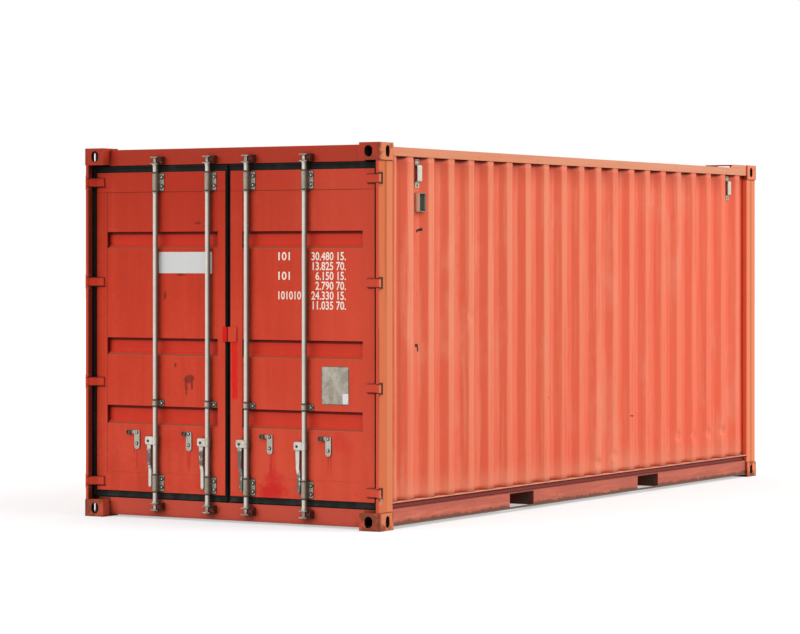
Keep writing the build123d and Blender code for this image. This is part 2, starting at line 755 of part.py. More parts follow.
# Two rounded flanges joined by a narrow web, open on both sides for the keeper's tooth
def cam(y, zs):
    x = at_door(BAR_RECESS)
    middle = Pos(x, y + (CAM_LONG - CAM_SHORT) / 2)
    plate = middle * RectangleRounded(2 * CAM_FRONT_HALF, CAM_LONG + CAM_SHORT, CAM_ROUND)
    low = extrude(Pos(0, 0, zs[0]) * plate, amount=CAM_FLANGE)
    high = extrude(Pos(0, 0, zs[1] - CAM_FLANGE) * plate, amount=CAM_FLANGE)
    core = Pos(x, y, zs[0]) * RectangleRounded(CAM_WEB, CAM_WEB, CAM_WEB_ROUND)
    web = extrude(core, amount=zs[1] - zs[0])
    return low + high + web


# A sleeve with two cheeks, and the pin that the handle swings on between them
def hub(y):
    x = at_door(BAR_RECESS)
    zs = (HUB_Z - HUB_HT / 2, HUB_Z + HUB_HT / 2)
    cheek = Pos(y + HUB_REACH / 2, HUB_Z) * RectangleRounded(HUB_REACH, HUB_HT, HUB_ROUND)
    front = extrude(Plane.YZ.offset(at_door(HUB_FRONT)) * cheek, amount=HUB_CHEEK)
    back = extrude(Plane.YZ.offset(at_door(HUB_BACK - HUB_CHEEK)) * cheek, amount=HUB_CHEEK)
    pivot = Plane.YZ.offset(at_door(HUB_FRONT)) * Pos(y + HUB_PIVOT_Y, HUB_PIVOT_Z)
    pin = extrude(pivot * Circle(HANDLE_PIN_R), amount=HUB_BACK - HUB_FRONT)
    rim = extrude(pivot * Circle(HANDLE_PIN_R + PIN_RIM), amount=PIN_RECESS)
    bore = rod_z(x, y, zs, BAR_R + HUB_BORE_CLEAR)
    return rod_z(x, y, zs, COLLAR_R) + front + back + pin - rim - bore


# The plain tube with its collars, cut off square between the cams
def locking_bar(y):
    x = at_door(BAR_RECESS)
    low, high = BASE_CAM_ZS[1], TOP_CAM_ZS[0]
    under, over = TOP_BRACKET_ZS[0] - COLLAR_GAP, BASE_BRACKET_ZS[1] + COLLAR_GAP
    bar = rod_z(x, y, (low, high), BAR_R)
    for start in (low, high - COLLAR_HT, under - COLLAR_HT, over):
        bar += rod_z(x, y, (start, start + COLLAR_HT), COLLAR_R)
    return bar


# A flat bar hanging from its eye, narrowed and set over towards the bar below its knee
def handle(y):
    top, tip = HANDLE_TOP_WID / 2, HANDLE_TIP_WID / 2
    foot = HUB_PIVOT_Z - HANDLE_LENGTH
    knee = HUB_PIVOT_Z - HANDLE_KNEE
    shin = knee - HANDLE_BEND
    pivot = y + HUB_PIVOT_Y
    low = pivot - HANDLE_OFFSET
    outline = [
        (pivot - top, HUB_PIVOT_Z), (pivot - tip, knee), (low - tip, shin), (low - tip, foot + tip),
        (low - tip / 2, foot), (low + tip / 2, foot), (low + tip, foot + tip), (low + tip, shin),
        (pivot + tip, knee), (pivot + top, HUB_PIVOT_Z),
    ]
    start = at_door(BAR_RECESS - HANDLE_THICK / 2)
    grip = prism_x(outline, start, start + HANDLE_THICK)
    eye = Plane.YZ.offset(start) * Pos(pivot, HUB_PIVOT_Z)
    grip += extrude(eye * Circle(top), amount=HANDLE_THICK)
    rims = grip.edges().filter_by(Axis.X, reverse=True)
    grip = chamfer(rims, HANDLE_EDGE)
    return grip - extrude(eye * Circle(HANDLE_PIN_R + HANDLE_BORE_CLEAR), amount=HANDLE_THICK)


# A tooth that enters the cam and a stop plate beyond it
def keeper(y, zs):
    low = zs[0] + CAM_FLANGE + CAM_GAP
    high = zs[1] - CAM_FLANGE - CAM_GAP
    depth = (at_door(KEEPER_FRONT), at_door(HEADER_FACE))
    tooth = block(depth, (y - KEEPER_FAR, y - KEEPER_NEAR), (low, high))
    return tooth + block(depth, (y - KEEPER_FAR, y - KEEPER_STOP), zs)


def keepers():
    parts = []
    for y in BAR_YS:
        parts.append(keeper(y, TOP_CAM_ZS))
        parts.append(keeper(y, BASE_CAM_ZS))
    save("cam_keepers", *parts)


def lug_plates():
    xs = (at_door(DOOR_FACE - LUG_PLATE_THICK), at_door(DOOR_FACE))
    save("door_left_lug_plate", block(xs, LUG_LEFT_YS, LUG_PLATE_ZS))
    save("door_right_lug_plate", block(xs, LUG_RIGHT_YS, LUG_PLATE_ZS))


def valley(number):
    return at_door(FIRST_RIDGE + number * RIDGE_PITCH + RIDGE_PITCH / 2)


# Hood open at both sides, with an ear above and below, standing in a valley of the wall
def vent(side, x):
    deep = at_side(side, VALLEY_INSET)
    front = at_side(side, VALLEY_INSET - VENT_STAND)
    mid_z = TOP_RAIL_BASE - VENT_DROP
    low, high = mid_z - VENT_HT / 2, mid_z + VENT_HT / 2
    xs = (x - VENT_WID / 2, x + VENT_WID / 2)
    hood = block(xs, (front, deep), (low, high))
    outer_rims = hood.edges().filter_by(Axis.X).sort_by(Axis.Y, reverse=side > 0)[:2]
    hood = fillet(outer_rims, VENT_ROUND)
    inner = at_side(side, VALLEY_INSET - VENT_STAND + VENT_WALL)
    hood -= block(xs, (inner, deep), (low + VENT_WALL, high - VENT_WALL))
    thin = at_side(side, VALLEY_INSET - VENT_EAR_THICK)
    ear_xs = (x - VENT_EAR_WID / 2, x + VENT_EAR_WID / 2)
    upper = block(ear_xs, (thin, deep), (high, high + VENT_EAR_REACH))
    lower = block(ear_xs, (thin, deep), (low - VENT_EAR_REACH, low))
    return hood + upper + lower


# Open-faced box whose heel sits in the valley and whose far corner clears the ridge
def side_box(side):
    deep = VALLEY_INSET
    front = deep - BOX_DEPTH
    x = valley(0)
    mid_z = TOP_RAIL_BASE - BOX_DROP
    x0, x1 = x - BOX_LEFT, x + BOX_RIGHT
    zs = (mid_z - BOX_HT / 2, mid_z + BOX_HT / 2)
    flat_end = x + RIDGE_PITCH / 2 - RIDGE_HALF - BOX_WALL
    shoulder = front + BOX_HEEL
    outline = [(x0, deep), (x0, front), (x1, front), (x1, shoulder), (flat_end, deep)]
    shell = prism_z([(px, at_side(side, i)) for px, i in outline], *zs)
    w = BOX_WALL
    inside = [
        (x0 + w, deep - w), (x0 + w, front - OVERRUN), (x1 - w, front - OVERRUN),
        (x1 - w, shoulder - w), (flat_end - w, deep - w),
    ]
    hollow = prism_z([(px, at_side(side, i)) for px, i in inside], zs[0] + w, zs[1] - w)
    return shell - hollow


# Plates over the roof's corners at the closed end, with a lip down to the rail
def corner_plates():
    base = TOP_RAIL_TOP
    top = base + CORNER_PLATE_RISE
    ends = (at_front(CAST_LEN + CORNER_PLATE_LEN), at_front(CAST_LEN))
    plates = []
    for side in (1, -1):
        outer = at_side(side, RAIL_INSET)
        inner = at_side(side, RAIL_INSET + CORNER_PLATE_WID)
        plate = block(ends, (outer, inner), (top - CORNER_PLATE_THICK, top))
        lip = block(ends, (outer, at_side(side, RAIL_INSET + CORNER_PLATE_LIP)), (base, top))
        far_lip = (at_side(side, RAIL_INSET + CORNER_PLATE_WID - CORNER_PLATE_THICK), inner)
        lip += block((ends[0] + CORNER_PLATE_BEVEL, ends[1] - CAST_BACK), far_lip, (base, top))
        cut = [
            (ends[0] - OVERRUN, base), (ends[0], base),
            (ends[0] + CORNER_PLATE_BEVEL, top + OVERRUN), (ends[0] - OVERRUN, top + OVERRUN)]
        plates.append(plate + lip - prism_y(cut, -HALF_WID, HALF_WID))
    save("roof_corner_plates", *plates)


castings()
end_beams()
roof()
floor()
understructure()
keepers()
lug_plates()
corner_plates()
for side, name in ((1, "left"), (-1, "right")):
    save("door_post_" + name, door_post(side))
    save("hinge_lugs_" + name, *hinge_lugs(side))
    save("front_post_" + name, front_post(side))
    side_rails(side, name)
    save("side_wall_" + name, side_wall(side))
    save("side_vents_" + name, vent(side, valley(0)), vent(side, valley(RIDGE_COUNT - 2)))
save("front_wall", front_wall())
save("side_box", side_box(-1))
door(1, "left", BAR_YS[:2])
door(-1, "right", BAR_YS[2:])
for number, y in enumerate(BAR_YS, start=1):
    save("locking_bar_" + str(number), locking_bar(y))
    save("bar_cams_and_hub_" + str(number), cam(y, TOP_CAM_ZS), cam(y, BASE_CAM_ZS), hub(y))
    save("handle_" + str(number), handle(y))
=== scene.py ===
import json
import math

import bpy
import numpy as np
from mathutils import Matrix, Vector


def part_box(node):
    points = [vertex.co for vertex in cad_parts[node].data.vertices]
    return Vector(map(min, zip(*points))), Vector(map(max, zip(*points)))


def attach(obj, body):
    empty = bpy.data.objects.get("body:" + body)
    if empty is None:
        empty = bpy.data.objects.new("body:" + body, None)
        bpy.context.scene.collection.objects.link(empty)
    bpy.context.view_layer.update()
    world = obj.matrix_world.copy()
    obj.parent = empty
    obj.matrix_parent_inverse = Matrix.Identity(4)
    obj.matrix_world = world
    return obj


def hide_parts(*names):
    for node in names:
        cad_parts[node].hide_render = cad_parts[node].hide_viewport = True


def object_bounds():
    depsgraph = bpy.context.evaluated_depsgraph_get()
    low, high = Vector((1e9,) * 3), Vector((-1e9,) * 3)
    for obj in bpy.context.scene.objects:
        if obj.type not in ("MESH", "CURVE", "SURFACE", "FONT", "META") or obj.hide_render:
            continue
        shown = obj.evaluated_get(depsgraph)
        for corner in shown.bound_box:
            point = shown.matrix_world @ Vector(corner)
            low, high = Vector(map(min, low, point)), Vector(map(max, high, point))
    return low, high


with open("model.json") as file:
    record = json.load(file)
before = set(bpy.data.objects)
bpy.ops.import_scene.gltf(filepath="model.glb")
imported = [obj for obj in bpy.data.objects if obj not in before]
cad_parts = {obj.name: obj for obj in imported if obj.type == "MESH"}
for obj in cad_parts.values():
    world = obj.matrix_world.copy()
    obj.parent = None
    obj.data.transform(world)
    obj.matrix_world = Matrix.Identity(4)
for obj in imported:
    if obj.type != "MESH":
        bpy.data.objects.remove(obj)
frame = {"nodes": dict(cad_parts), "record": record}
cad_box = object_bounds()
scene = bpy.context.scene
body_of = {node: body for body, nodes in frame["record"]["behaviour"]["bodies"].items() for node in nodes}

# Camera and studio
# A long lens at the photograph's place, looking level at the near corner from the visible
# long side, over a pale floor under a plain white sky with a broad soft lamp for each face.
CAMERA_PLACE = (-20.0588, -11.5829, 1.815)
CAMERA_TURN = -1.0293
CAMERA_LENS = 135.177
CAMERA_SHIFT = (0.00576, -0.073)
FLOOR_HALF = 90.0
FLOOR_SEEN = (0.46, 0.46, 0.46, 1)
FLOOR_GLOW = (0.5, 0.51, 0.51, 1)
FLOOR_DARK = (0, 0, 0, 1)
FLOOR_BOUNCE = (0.34, 0.33, 0.32, 1)
SKY_STRENGTH = 1.0
LAMP_WIDTH = 0.8
# Each lamp: its strength, and the way its light travels
LAMPS = {"side_lamp": (1.5, (-0.287, 0.71, -0.643)), "door_lamp": (0.8, (0.8, -0.46, -0.38))}


class Shade:
    """One value or colour inside a finish. Plain arithmetic on it adds Math nodes."""

    def __init__(self, tree, socket):
        self.tree, self.socket = tree, socket

    def node(self, kind, settings=(), sockets=(), out=0):
        """Adds a node: its settings first, then the values or links of its sockets."""
        made = self.tree.nodes.new(kind)
        for name, value in dict(settings).items():
            setattr(made, name, value)
        for name, value in dict(sockets).items():
            if isinstance(value, Shade):
                self.tree.links.new(value.socket, made.inputs[name])
            else:
                made.inputs[name].default_value = value
        return Shade(self.tree, made.outputs[out])

    def math(self, operation, first, second=0.0):
        return self.node("ShaderNodeMath", {"operation": operation}, {0: first, 1: second})

    def __add__(self, other):
        return self.math("ADD", self, other)

    def __sub__(self, other):
        return self.math("SUBTRACT", self, other)

    def __rsub__(self, other):
        return self.math("SUBTRACT", other, self)

    def __mul__(self, other):
        return self.math("MULTIPLY", self, other)

    __radd__ = __add__
    __rmul__ = __mul__

    def size(self):
        return self.math("ABSOLUTE", self)

    def most(self, other):
        return self.math("MAXIMUM", self, other)

    def least(self, other):
        return self.math("MINIMUM", self, other)

    def step(self, start, end):
        """0 before start and 1 after end, with a smooth rise between; start may be the larger."""
        return self.node(
            "ShaderNodeMapRange", {"interpolation_type": "SMOOTHSTEP"},
            {"Value": self, "From Min": start, "From Max": end})

    def within(self, low, high, soft=0.002):
        """1 between low and high, falling to 0 over the softness at both ends."""
        return self.step(low - soft, low + soft) * self.step(high + soft, high - soft)

    def toward(self, other, mask):
        """This colour, changed to the other one as the mask goes from 0 to 1."""
        return blend(mask, self, other)

    def coats(self, *layers):
        """This colour under several others in turn, each given with its mask."""
        colour = self
        for other, mask in layers:
            colour = colour.toward(other, mask)
        return colour

    def nearest(self, marks):
        """How far this value is from the nearest of some marks."""
        off = (self - marks[0]).size()
        for mark in marks[1:]:
            off = off.least((self - mark).size())
        return off

    def bump(self, strength, distance, rounded=None):
        """The normal of a surface with this value as its height, over a rounded one if given."""
        sockets = {"Strength": strength, "Distance": distance, "Height": self}
        if rounded:
            sockets["Normal"] = rounded
        return self.node("ShaderNodeBump", (), sockets)

    def parts(self):
        split = self.node("ShaderNodeSeparateXYZ", (), {0: self})
        return [Shade(self.tree, socket) for socket in split.socket.node.outputs]

    def noise(self, scale, detail=3.0, rough=0.55, stretch=(1.0, 1.0, 1.0)):
        place = self.node("ShaderNodeVectorMath", {"operation": "MULTIPLY"}, {0: self, 1: stretch})
        return self.node(
            "ShaderNodeTexNoise", (),
            {"Vector": place, "Scale": scale, "Detail": detail, "Roughness": rough})


def blend(mask, first, second):
    """The first colour where the mask is 0, the second where it is 1."""
    return mask.node("ShaderNodeMix", {"data_type": "RGBA"}, {0: mask, 6: first, 7: second}, 2)


def blank_finish(name):
    """A new material with its shader, and the place of each point on the object."""
    finish = bpy.data.materials.new(name)
    finish.use_nodes = True
    tree = finish.node_tree
    shader = tree.nodes["Principled BSDF"]
    place = Shade(tree, tree.nodes.new("ShaderNodeTexCoord").outputs["Object"])
    return finish, shader, place


def feed(shader, **inputs):
    """Links or sets the shader's sockets, named with underscores for spaces."""
    for name, value in inputs.items():
        socket = shader.inputs[name.replace("_", " ")]
        if isinstance(value, Shade):
            value.tree.links.new(value.socket, socket)
        else:
            socket.default_value = value


camera = bpy.data.objects.new("photo_camera", bpy.data.cameras.new("photo_camera"))
camera.location = CAMERA_PLACE
camera.rotation_euler = (math.pi / 2, 0, CAMERA_TURN)
camera.data.lens = CAMERA_LENS
camera.data.shift_x, camera.data.shift_y = CAMERA_SHIFT
camera.data.clip_end = 400
scene.collection.objects.link(camera)
scene.camera = camera
scene.view_settings.view_transform = "Standard"

world = bpy.data.worlds.new("white_sky")
world.use_nodes = True
scene.world = world
sky = world.node_tree.nodes["Background"]
sky.inputs["Strength"].default_value = SKY_STRENGTH
sky.inputs["Color"].default_value = (1, 1, 1, 1)

for name, (strength, way) in LAMPS.items():
    lamp = bpy.data.objects.new(name, bpy.data.lights.new(name, "SUN"))
    lamp.data.energy = strength
    lamp.data.angle = LAMP_WIDTH
    lamp.rotation_euler = Vector(way).to_track_quat("-Z", "Y").to_euler()
    scene.collection.objects.link(lamp)

floor_mesh = bpy.data.meshes.new("studio_floor")
floor_corners = [(x * FLOOR_HALF, y * FLOOR_HALF, 0) for x, y in ((-1, -1), (1, -1), (1, 1), (-1, 1))]
floor_mesh.from_pydata(floor_corners, [], [(0, 1, 2, 3)])
studio_floor = bpy.data.objects.new("studio_floor", floor_mesh)
scene.collection.objects.link(studio_floor)
floor_finish, floor_shader, floor_place = blank_finish("pale_floor")
ray = floor_finish.node_tree.nodes.new("ShaderNodeLightPath")
camera_ray, glossy_ray, through_ray = [
    Shade(floor_finish.node_tree, ray.outputs[kind])
    for kind in ("Is Camera Ray", "Is Glossy Ray", "Is Transmission Ray")]
seen = camera_ray.most(glossy_ray).most(through_ray)
feed(
    floor_shader, Base_Color=blend(seen, FLOOR_BOUNCE, FLOOR_SEEN), Roughness=0.9, Specular_IOR_Level=0.0,
    Emission_Color=blend(seen, FLOOR_DARK, FLOOR_GLOW), Emission_Strength=1.0)
floor_mesh.materials.append(floor_finish)

# Door-end paint
# Red gloss over primed steel on the end frame and the leaves, browner high up and brighter low
# down, with rain streaks, grime and painted shade in the corners, worn edges paled with a painted
# highlight, and rust specks near the ground.
RED_HIGH = (0.475, 0.031, 0.009, 1)
RED_MIDDLE = (0.61, 0.045, 0.016, 1)
RED_LOW = (0.7, 0.072, 0.033, 1)
RED_DEEP = (0.44, 0.02, 0.006, 1)
RED_CHALKY = (0.76, 0.105, 0.053, 1)
RED_HEADER = (0.39, 0.032, 0.012, 1)
RED_SILL = (0.54, 0.08, 0.05, 1)
WELD_BROWN = (0.12, 0.03, 0.014, 1)
POST_ORANGE = (0.69, 0.205, 0.084, 1)
POST_TAN = (0.71, 0.262, 0.114, 1)
POST_BRIGHT = (0.85, 0.235, 0.11, 1)
CORNER_GRIME_AND_SHADE = (0.05, 0.01, 0.006, 1)
RUST = (0.11, 0.038, 0.018, 1)
RUST_ORANGE = (0.48, 0.09, 0.014, 1)
WORN_EDGE_AND_HIGHLIGHT = (0.74, 0.26, 0.17, 1)
EDGE_ROUND = 0.004
HEADER_FOOT = 2.462
SILL_TOP = 0.14
OUTER_FACE = 1.19
door_plane = cad_box[0].x
half_width = cad_box[1].y
half_length = cad_box[1].x
full_height = cad_box[1].z
# Along the length, across, and up
CASTING_SIZE = (0.178, 0.162, 0.118)


def weather(place):
    """Soft patches a metre wide, rain streaks down the face, and a fine mottle."""
    patches = place.noise(0.9, 4, 0.6)
    streaks = place.noise(1, 3, 0.6, (9, 9, 0.55))
    mottle = place.noise(26, 3)
    return patches, streaks, mottle


def soil(place, colour, mottle, crevice=0.1, shade_and_grime=0.85):
    """Grime and painted shade where faces meet, and rust specks, thicker towards the ground."""
    # Painted shade, with grime, darkens the faces where they close in on each other
    shaded = (open_air(place, crevice) + mottle * 0.25).step(0.86, 0.4) * shade_and_grime
    low = place.parts()[2].step(0.55, 0.02)
    speckled = (place.noise(38, 5, 0.65) + low * 0.07).step(0.735, 0.765)
    return colour.coats((CORNER_GRIME_AND_SHADE, shaded), (RUST, speckled)), speckled


def open_air(place, distance):
    """1 in the open, less in corners narrower than the distance."""
    return place.node("ShaderNodeAmbientOcclusion", {"samples": 6}, {"Distance": distance}, 1)


def edges(place, radius):
    """A normal rounded over sharp edges, and how well it agrees with the true one."""
    rounded = place.node("ShaderNodeBevel", {"samples": 4}, {"Radius": radius})
    true = Shade(place.tree, place.tree.nodes.new("ShaderNodeNewGeometry").outputs["Normal"])
    return rounded, place.node("ShaderNodeVectorMath", {"operation": "DOT_PRODUCT"}, {0: rounded, 1: true}, 1)


def soft_edges(place, colour, mottle, wear_and_highlight=0.4):
    """Rounds the light on sharp edges and paints them paler: worn paint and a painted highlight."""
    rounded, facing = edges(place, EDGE_ROUND)
    # Paler edges: worn paint, and a painted highlight along them
    return colour.toward(WORN_EDGE_AND_HIGHLIGHT, (facing + mottle * 0.04).step(0.985, 0.9) * wear_and_highlight), rounded


def face_turn(place):
    """How far the face looks along each axis of the object, from -1 to 1."""
    normal = Shade(place.tree, place.socket.node.outputs["Normal"])
    return normal.parts()


def outward(place):
    """1 on faces that look out sideways, -1 on faces that look in to the middle."""
    return face_turn(place)[1] * place.parts()[1] * (1 / half_width)


def end_paint(name, marks=None, crevice=0.1, wear_and_highlight=0.4):
    """Red on faces that look along the length, bleached orange on the outermost side faces."""
    finish, shader, place = blank_finish(name)
    patches, streaks, mottle = weather(place)
    x, y, z = place.parts()
    level = z + patches * 0.8 - 0.4
    tone = patches * 0.5 + streaks * 0.34 + mottle * 0.16
    red = blend(level.step(0.35, 1.2), RED_LOW, RED_MIDDLE).coats(
        (RED_HIGH, level.step(1.4, 2.5)),
        (RED_DEEP, tone.step(0.56, 0.38) * 0.45),
        (RED_CHALKY, tone.step(0.5, 0.68) * 0.35 + y.step(0.1, -1.2) * 0.4),
        (RED_HEADER, z.step(HEADER_FOOT, HEADER_FOOT + 0.01) * 0.8),
        (RED_SILL, z.step(SILL_TOP, SILL_TOP - 0.006) * 0.7))
    side = blend(tone.step(0.46, 0.62), POST_ORANGE, POST_TAN).toward(POST_BRIGHT, x.step(1, 2.8) * 0.9)
    colour = red.toward(side, outward(place).step(0.3, 0.8) * y.size().step(OUTER_FACE, OUTER_FACE + 0.01))
    if marks:
        colour = marks(place, colour)
    colour, speckled = soil(place, colour, mottle, crevice)
    colour, rounded = soft_edges(place, colour, mottle, wear_and_highlight)
    feed(
        shader, Base_Color=colour, Roughness=mottle.step(0.2, 0.9) * 0.2 + speckled * 0.3 + 0.45,
        Normal=(mottle * 0.3 + streaks * 0.2).bump(0.12, 0.003, rounded), Specular_IOR_Level=0.14)
    return finish


def dress(finish, *nodes):
    """Gives CAD nodes a finish in place of their plain one."""
    for node in nodes:
        mesh = frame["nodes"][node].data
        mesh.materials.clear()
        mesh.materials.append(finish)


def rail_ends(place, colour):
    """Rusty welds where the header and the sill meet the castings."""
    gap = place.parts()[1].size() - half_width + CASTING_SIZE[1]
    return colour.toward(WELD_BROWN, gap.step(-0.014, -0.004) * place.noise(30).step(0.3, 0.5) * 0.8)


dress(end_paint("end_red_paint", rail_ends), "door_header", "door_sill")

# Door posts and hinges
# Pressed steel posts with forged hinge lugs welded into their noses and steel straps that wrap
# the pins. The inner faces of each nose carry painted shade and the neck behind it is painted
# black as its shadow, and rust runs down the groove.
POST_SHADE = (0.09, 0.014, 0.008, 1)
POST_SHADOW_BLACK = (0.01, 0.006, 0.005, 1)
POST_LINE = (0.3, 0.04, 0.018, 1)
POST_NEAR = (0.64, 0.135, 0.046, 1)
LUG_ORANGE = (0.56, 0.075, 0.028, 1)
BARE_PATCH = (0.43, 0.29, 0.2, 1)
GROOVE_RECESS = 0.086
HINGE_HEIGHTS = (2.351, 1.652, 0.949, 0.25)
HINGE_HALF = 0.036


def casting_joint(z):
    """The weld between a post and the castings above and below it."""
    return z.nearest((CASTING_SIZE[2], full_height - CASTING_SIZE[2])).step(0.009, 0.003)


def post_marks(place, colour):
    """Painted shade on the nose's inner faces and painted black shadow in the neck, a seam at the
    front corner, rust in the groove, painted black shade for pockets behind the hinge eyes, and a
    scraped patch near the foot of the right post."""
    x, y, z = place.parts()
    recess = x - door_plane
    out = outward(place)
    inside, side = out.step(-0.2, -0.7), out.step(0.3, 0.8)
    streaks = place.noise(1, 4, 0.65, (30, 30, 1.3))
    groove = (recess + (streaks - 0.5) * 0.012 - GROOVE_RECESS).size().step(0.015, 0.006)
    off = z.nearest(HINGE_HEIGHTS)
    tall = off.step(HINGE_HALF + 0.006, HINGE_HALF + 0.004)
    ends = off.step(HINGE_HALF - 0.002, HINGE_HALF) * recess.step(0.054, 0.05)
    pocket = recess.within(0.036, 0.054).most(ends)
    ragged = place.noise(60, 4, 0.7) * 0.02 - 0.01
    scraped = (recess + ragged).within(0.012, 0.042) * (z + ragged).within(0.176, 0.232)
    return colour.coats(
        # Painted shade on the inner faces, and painted black shadow in the neck behind the nose
        (POST_SHADE, inside * 0.9),
        (POST_SHADOW_BLACK, inside * recess.step(0.036, 0.046)),
        (POST_NEAR, side * recess.step(0.105, 0.085) * x.step(0, -0.1) * 0.75),
        (POST_LINE, side * recess.step(0.012, 0.006) * streaks.step(0.35, 0.6) * 0.7),
        (RUST_ORANGE, groove * y.size().step(1.2, 1.206) * z.step(1.2, 2) * 0.8),
        (LUG_ORANGE, side * recess.step(0.04, 0.034) * tall * 0.9),
        # Painted black shade where a deeper pocket behind each hinge eye would lie
        (POST_SHADOW_BLACK, side * pocket * tall * 0.95),
        (POST_LINE, casting_joint(z) * 0.8),
        (BARE_PATCH, side * scraped * y.step(0, -1) * 0.9))


post_paint = end_paint("post_paint", post_marks)
dress(post_paint, "door_post_left", "door_post_right", "hinge_lugs_left", "hinge_lugs_right")


def blade_edges(place, colour):
    """Painted shade: dark rims along the top and the bottom of each hinge strap."""
    off = place.parts()[2].nearest(HINGE_HEIGHTS)
    return colour.toward(POST_SHADOW_BLACK, off.step(HINGE_HALF - 0.014, HINGE_HALF - 0.006) * 0.85)


dress(end_paint("hinge_paint", blade_edges, 0.03, 0.2), "door_left_hinges", "door_right_hinges")

# Cam keepers
# Forged teeth and stops welded to the header and sill, painted with the frame, then rubbed and
# rusted by the cams that ride on them. Most of each keeper is painted dark brown: rust, and
# painted shade for the deep shadow it sits in.
KEEPER_RUST_AND_SHADE = (0.036, 0.012, 0.008, 1)
KEEPER_BARE = (0.26, 0.19, 0.14, 1)


def keeper_wear_and_shade(place, colour):
    rubbed = place.noise(34, 5, 0.7)
    # Dark brown for rust and as painted shade, pale where the metal is rubbed bare
    return colour.coats(
        (KEEPER_RUST_AND_SHADE, rubbed.step(0.3, 0.46) * 0.93), (KEEPER_BARE, rubbed.step(0.6, 0.68) * 0.6))


dress(end_paint("keeper_paint", keeper_wear_and_shade, 0.05, 0.0), "cam_keepers")

# Corner castings
# Hollow cast-steel blocks welded into the eight corners, painted over a rough cast skin, rubbed
# bare and rusty round the apertures where twistlocks and hooks bear.
CASTING_DARK = (0.18, 0.04, 0.02, 1)
CASTING_ORANGE = (0.52, 0.11, 0.042, 1)
CASTING_INSIDE_SHADE = (0.008, 0.005, 0.005, 1)


def cast_skin(place, colour):
    """Dark rubbed rust in loose patches, and painted black shade inside: there every face is
    further in than the block's outer and inner planes."""
    x, y, z = place.parts()
    depths = (half_length - x.size(), half_width - y.size(), z.least(full_height - z))
    deep = depths[0]
    for depth, size in zip(depths, CASTING_SIZE):
        deep = deep.least(depth).least(size - depth)
    cloudy = place.noise(11, 6, 0.7)
    low = z.step(1, 0.2)
    corner = (depths[0] + depths[1]).step(0.034, 0.004) * place.noise(9, 4, 0.7).step(0.34, 0.55)
    return colour.coats(
        (CASTING_ORANGE, low * cloudy.step(0.38, 0.58) * 0.7),
        (CASTING_DARK, (cloudy + low * 0.09).step(0.54, 0.68) * 0.78),
        (CASTING_DARK, corner * 0.75),
        # Painted shade: black on the faces inside the block
        (CASTING_INSIDE_SHADE, deep.step(0.0015, 0.007)))


casting_paint = end_paint("casting_paint", cast_skin, crevice=0.04)
dress(casting_paint, "castings_door_end", "castings_front_end")

# Side walls
# Trapezoid-corrugated steel sheet, pressed with rounded bends and welded under the top rail and
# onto the bottom rail's lip. The paint is bleached, most on the ridges, and knocked in places.
WALL_INSET = 0.01
WALL_DEPTH = 0.036
WALL_SKIN = 0.002
WALL_PITCH = 0.2784
RIDGE_HALF = 0.038
RIDGE_RUN = 0.068
FIRST_RIDGE = 0.419
FIRST_BEND = 0.232
BEND_SOFTNESS = 0.009
SAMPLE_STEP = 0.006
DENT_HEIGHT = 0.03
DENT_LENGTH = 0.038
# Each dent: its ridge, its height from the ground, and how deep it is
RIGHT_DENTS = ((15, 0.403, 0.018), (16, 0.397, 0.014), (17, 0.405, 0.02), (18, 0.41, 0.022),
               (10, 0.274, 0.02), (11, 0.317, 0.014), (3, 1.42, 0.01))
LEFT_DENTS = ((4, 0.62, 0.01), (12, 0.48, 0.008), (7, 1.3, 0.006))

wall_low, wall_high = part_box("side_wall_right")
ridge_count = round((wall_high.x - door_plane - FIRST_RIDGE) / WALL_PITCH)


def wall_inset(x):
    """Depth of the sheet behind the side plane at x: flat on each ridge, a straight slope and a
    flat valley, with the bends rounded by averaging over their softness."""
    shifts = np.linspace(-BEND_SOFTNESS, BEND_SOFTNESS, 9)[:, None]
    along = x[None, :] + shifts - door_plane
    nearest = np.clip(np.round((along - FIRST_RIDGE) / WALL_PITCH), 0, ridge_count - 1)
    gap = np.abs(along - FIRST_RIDGE - nearest * WALL_PITCH)
    depth = np.clip((gap - RIDGE_HALF) / RIDGE_RUN, 0, 1)
    lead = np.clip((along - FIRST_BEND) / RIDGE_RUN, 0, 1)
    return WALL_INSET + WALL_DEPTH * np.minimum(depth, lead).mean(0)


def new_piece(name, vertices, faces, finish, smooth=False):
    """Puts computed points and faces into a mesh object at the origin."""
    mesh = bpy.data.meshes.new(name)
    mesh.from_pydata(vertices.reshape(-1, 3).tolist(), [], faces)
    mesh.polygons.foreach_set("use_smooth", [smooth] * len(mesh.polygons))
    mesh.materials.append(finish)
    piece = bpy.data.objects.new(name, mesh)
    scene.collection.objects.link(piece)
    return piece


def grid_faces(rows, columns, around=False, along=False):
    """Four-cornered faces of a grid; around joins the last column to the first, along the rows."""
    index = np.arange(rows * columns).reshape(rows, columns)
    if around:
        index = np.concatenate((index, index[:, :1]), 1)
    if along:
        index = np.concatenate((index, index[:1]), 0)
    corners = (index[:-1, :-1], index[:-1, 1:], index[1:, 1:], index[1:, :-1])
    return np.stack(corners, -1).reshape(-1, 4).tolist()


def wall_columns():
    """Places along the wall where the sheet bends, with a few more on each side of a bend."""
    ridges = FIRST_RIDGE + WALL_PITCH * np.arange(ridge_count)
    foot = RIDGE_HALF + RIDGE_RUN
    bends = ridges[:, None] + np.array((-foot, -RIDGE_HALF, RIDGE_HALF, foot))
    bends = np.append(bends.ravel(), (FIRST_BEND, FIRST_BEND + RIDGE_RUN)) + door_plane
    near = bends[:, None] + SAMPLE_STEP * np.array((-2, -1, 0, 1, 2))
    mids = bends.reshape(-1, 2).mean(1)
    columns = np.concatenate((near.ravel(), mids, (wall_low.x, wall_high.x)))
    return np.unique(np.clip(columns, wall_low.x, wall_high.x))


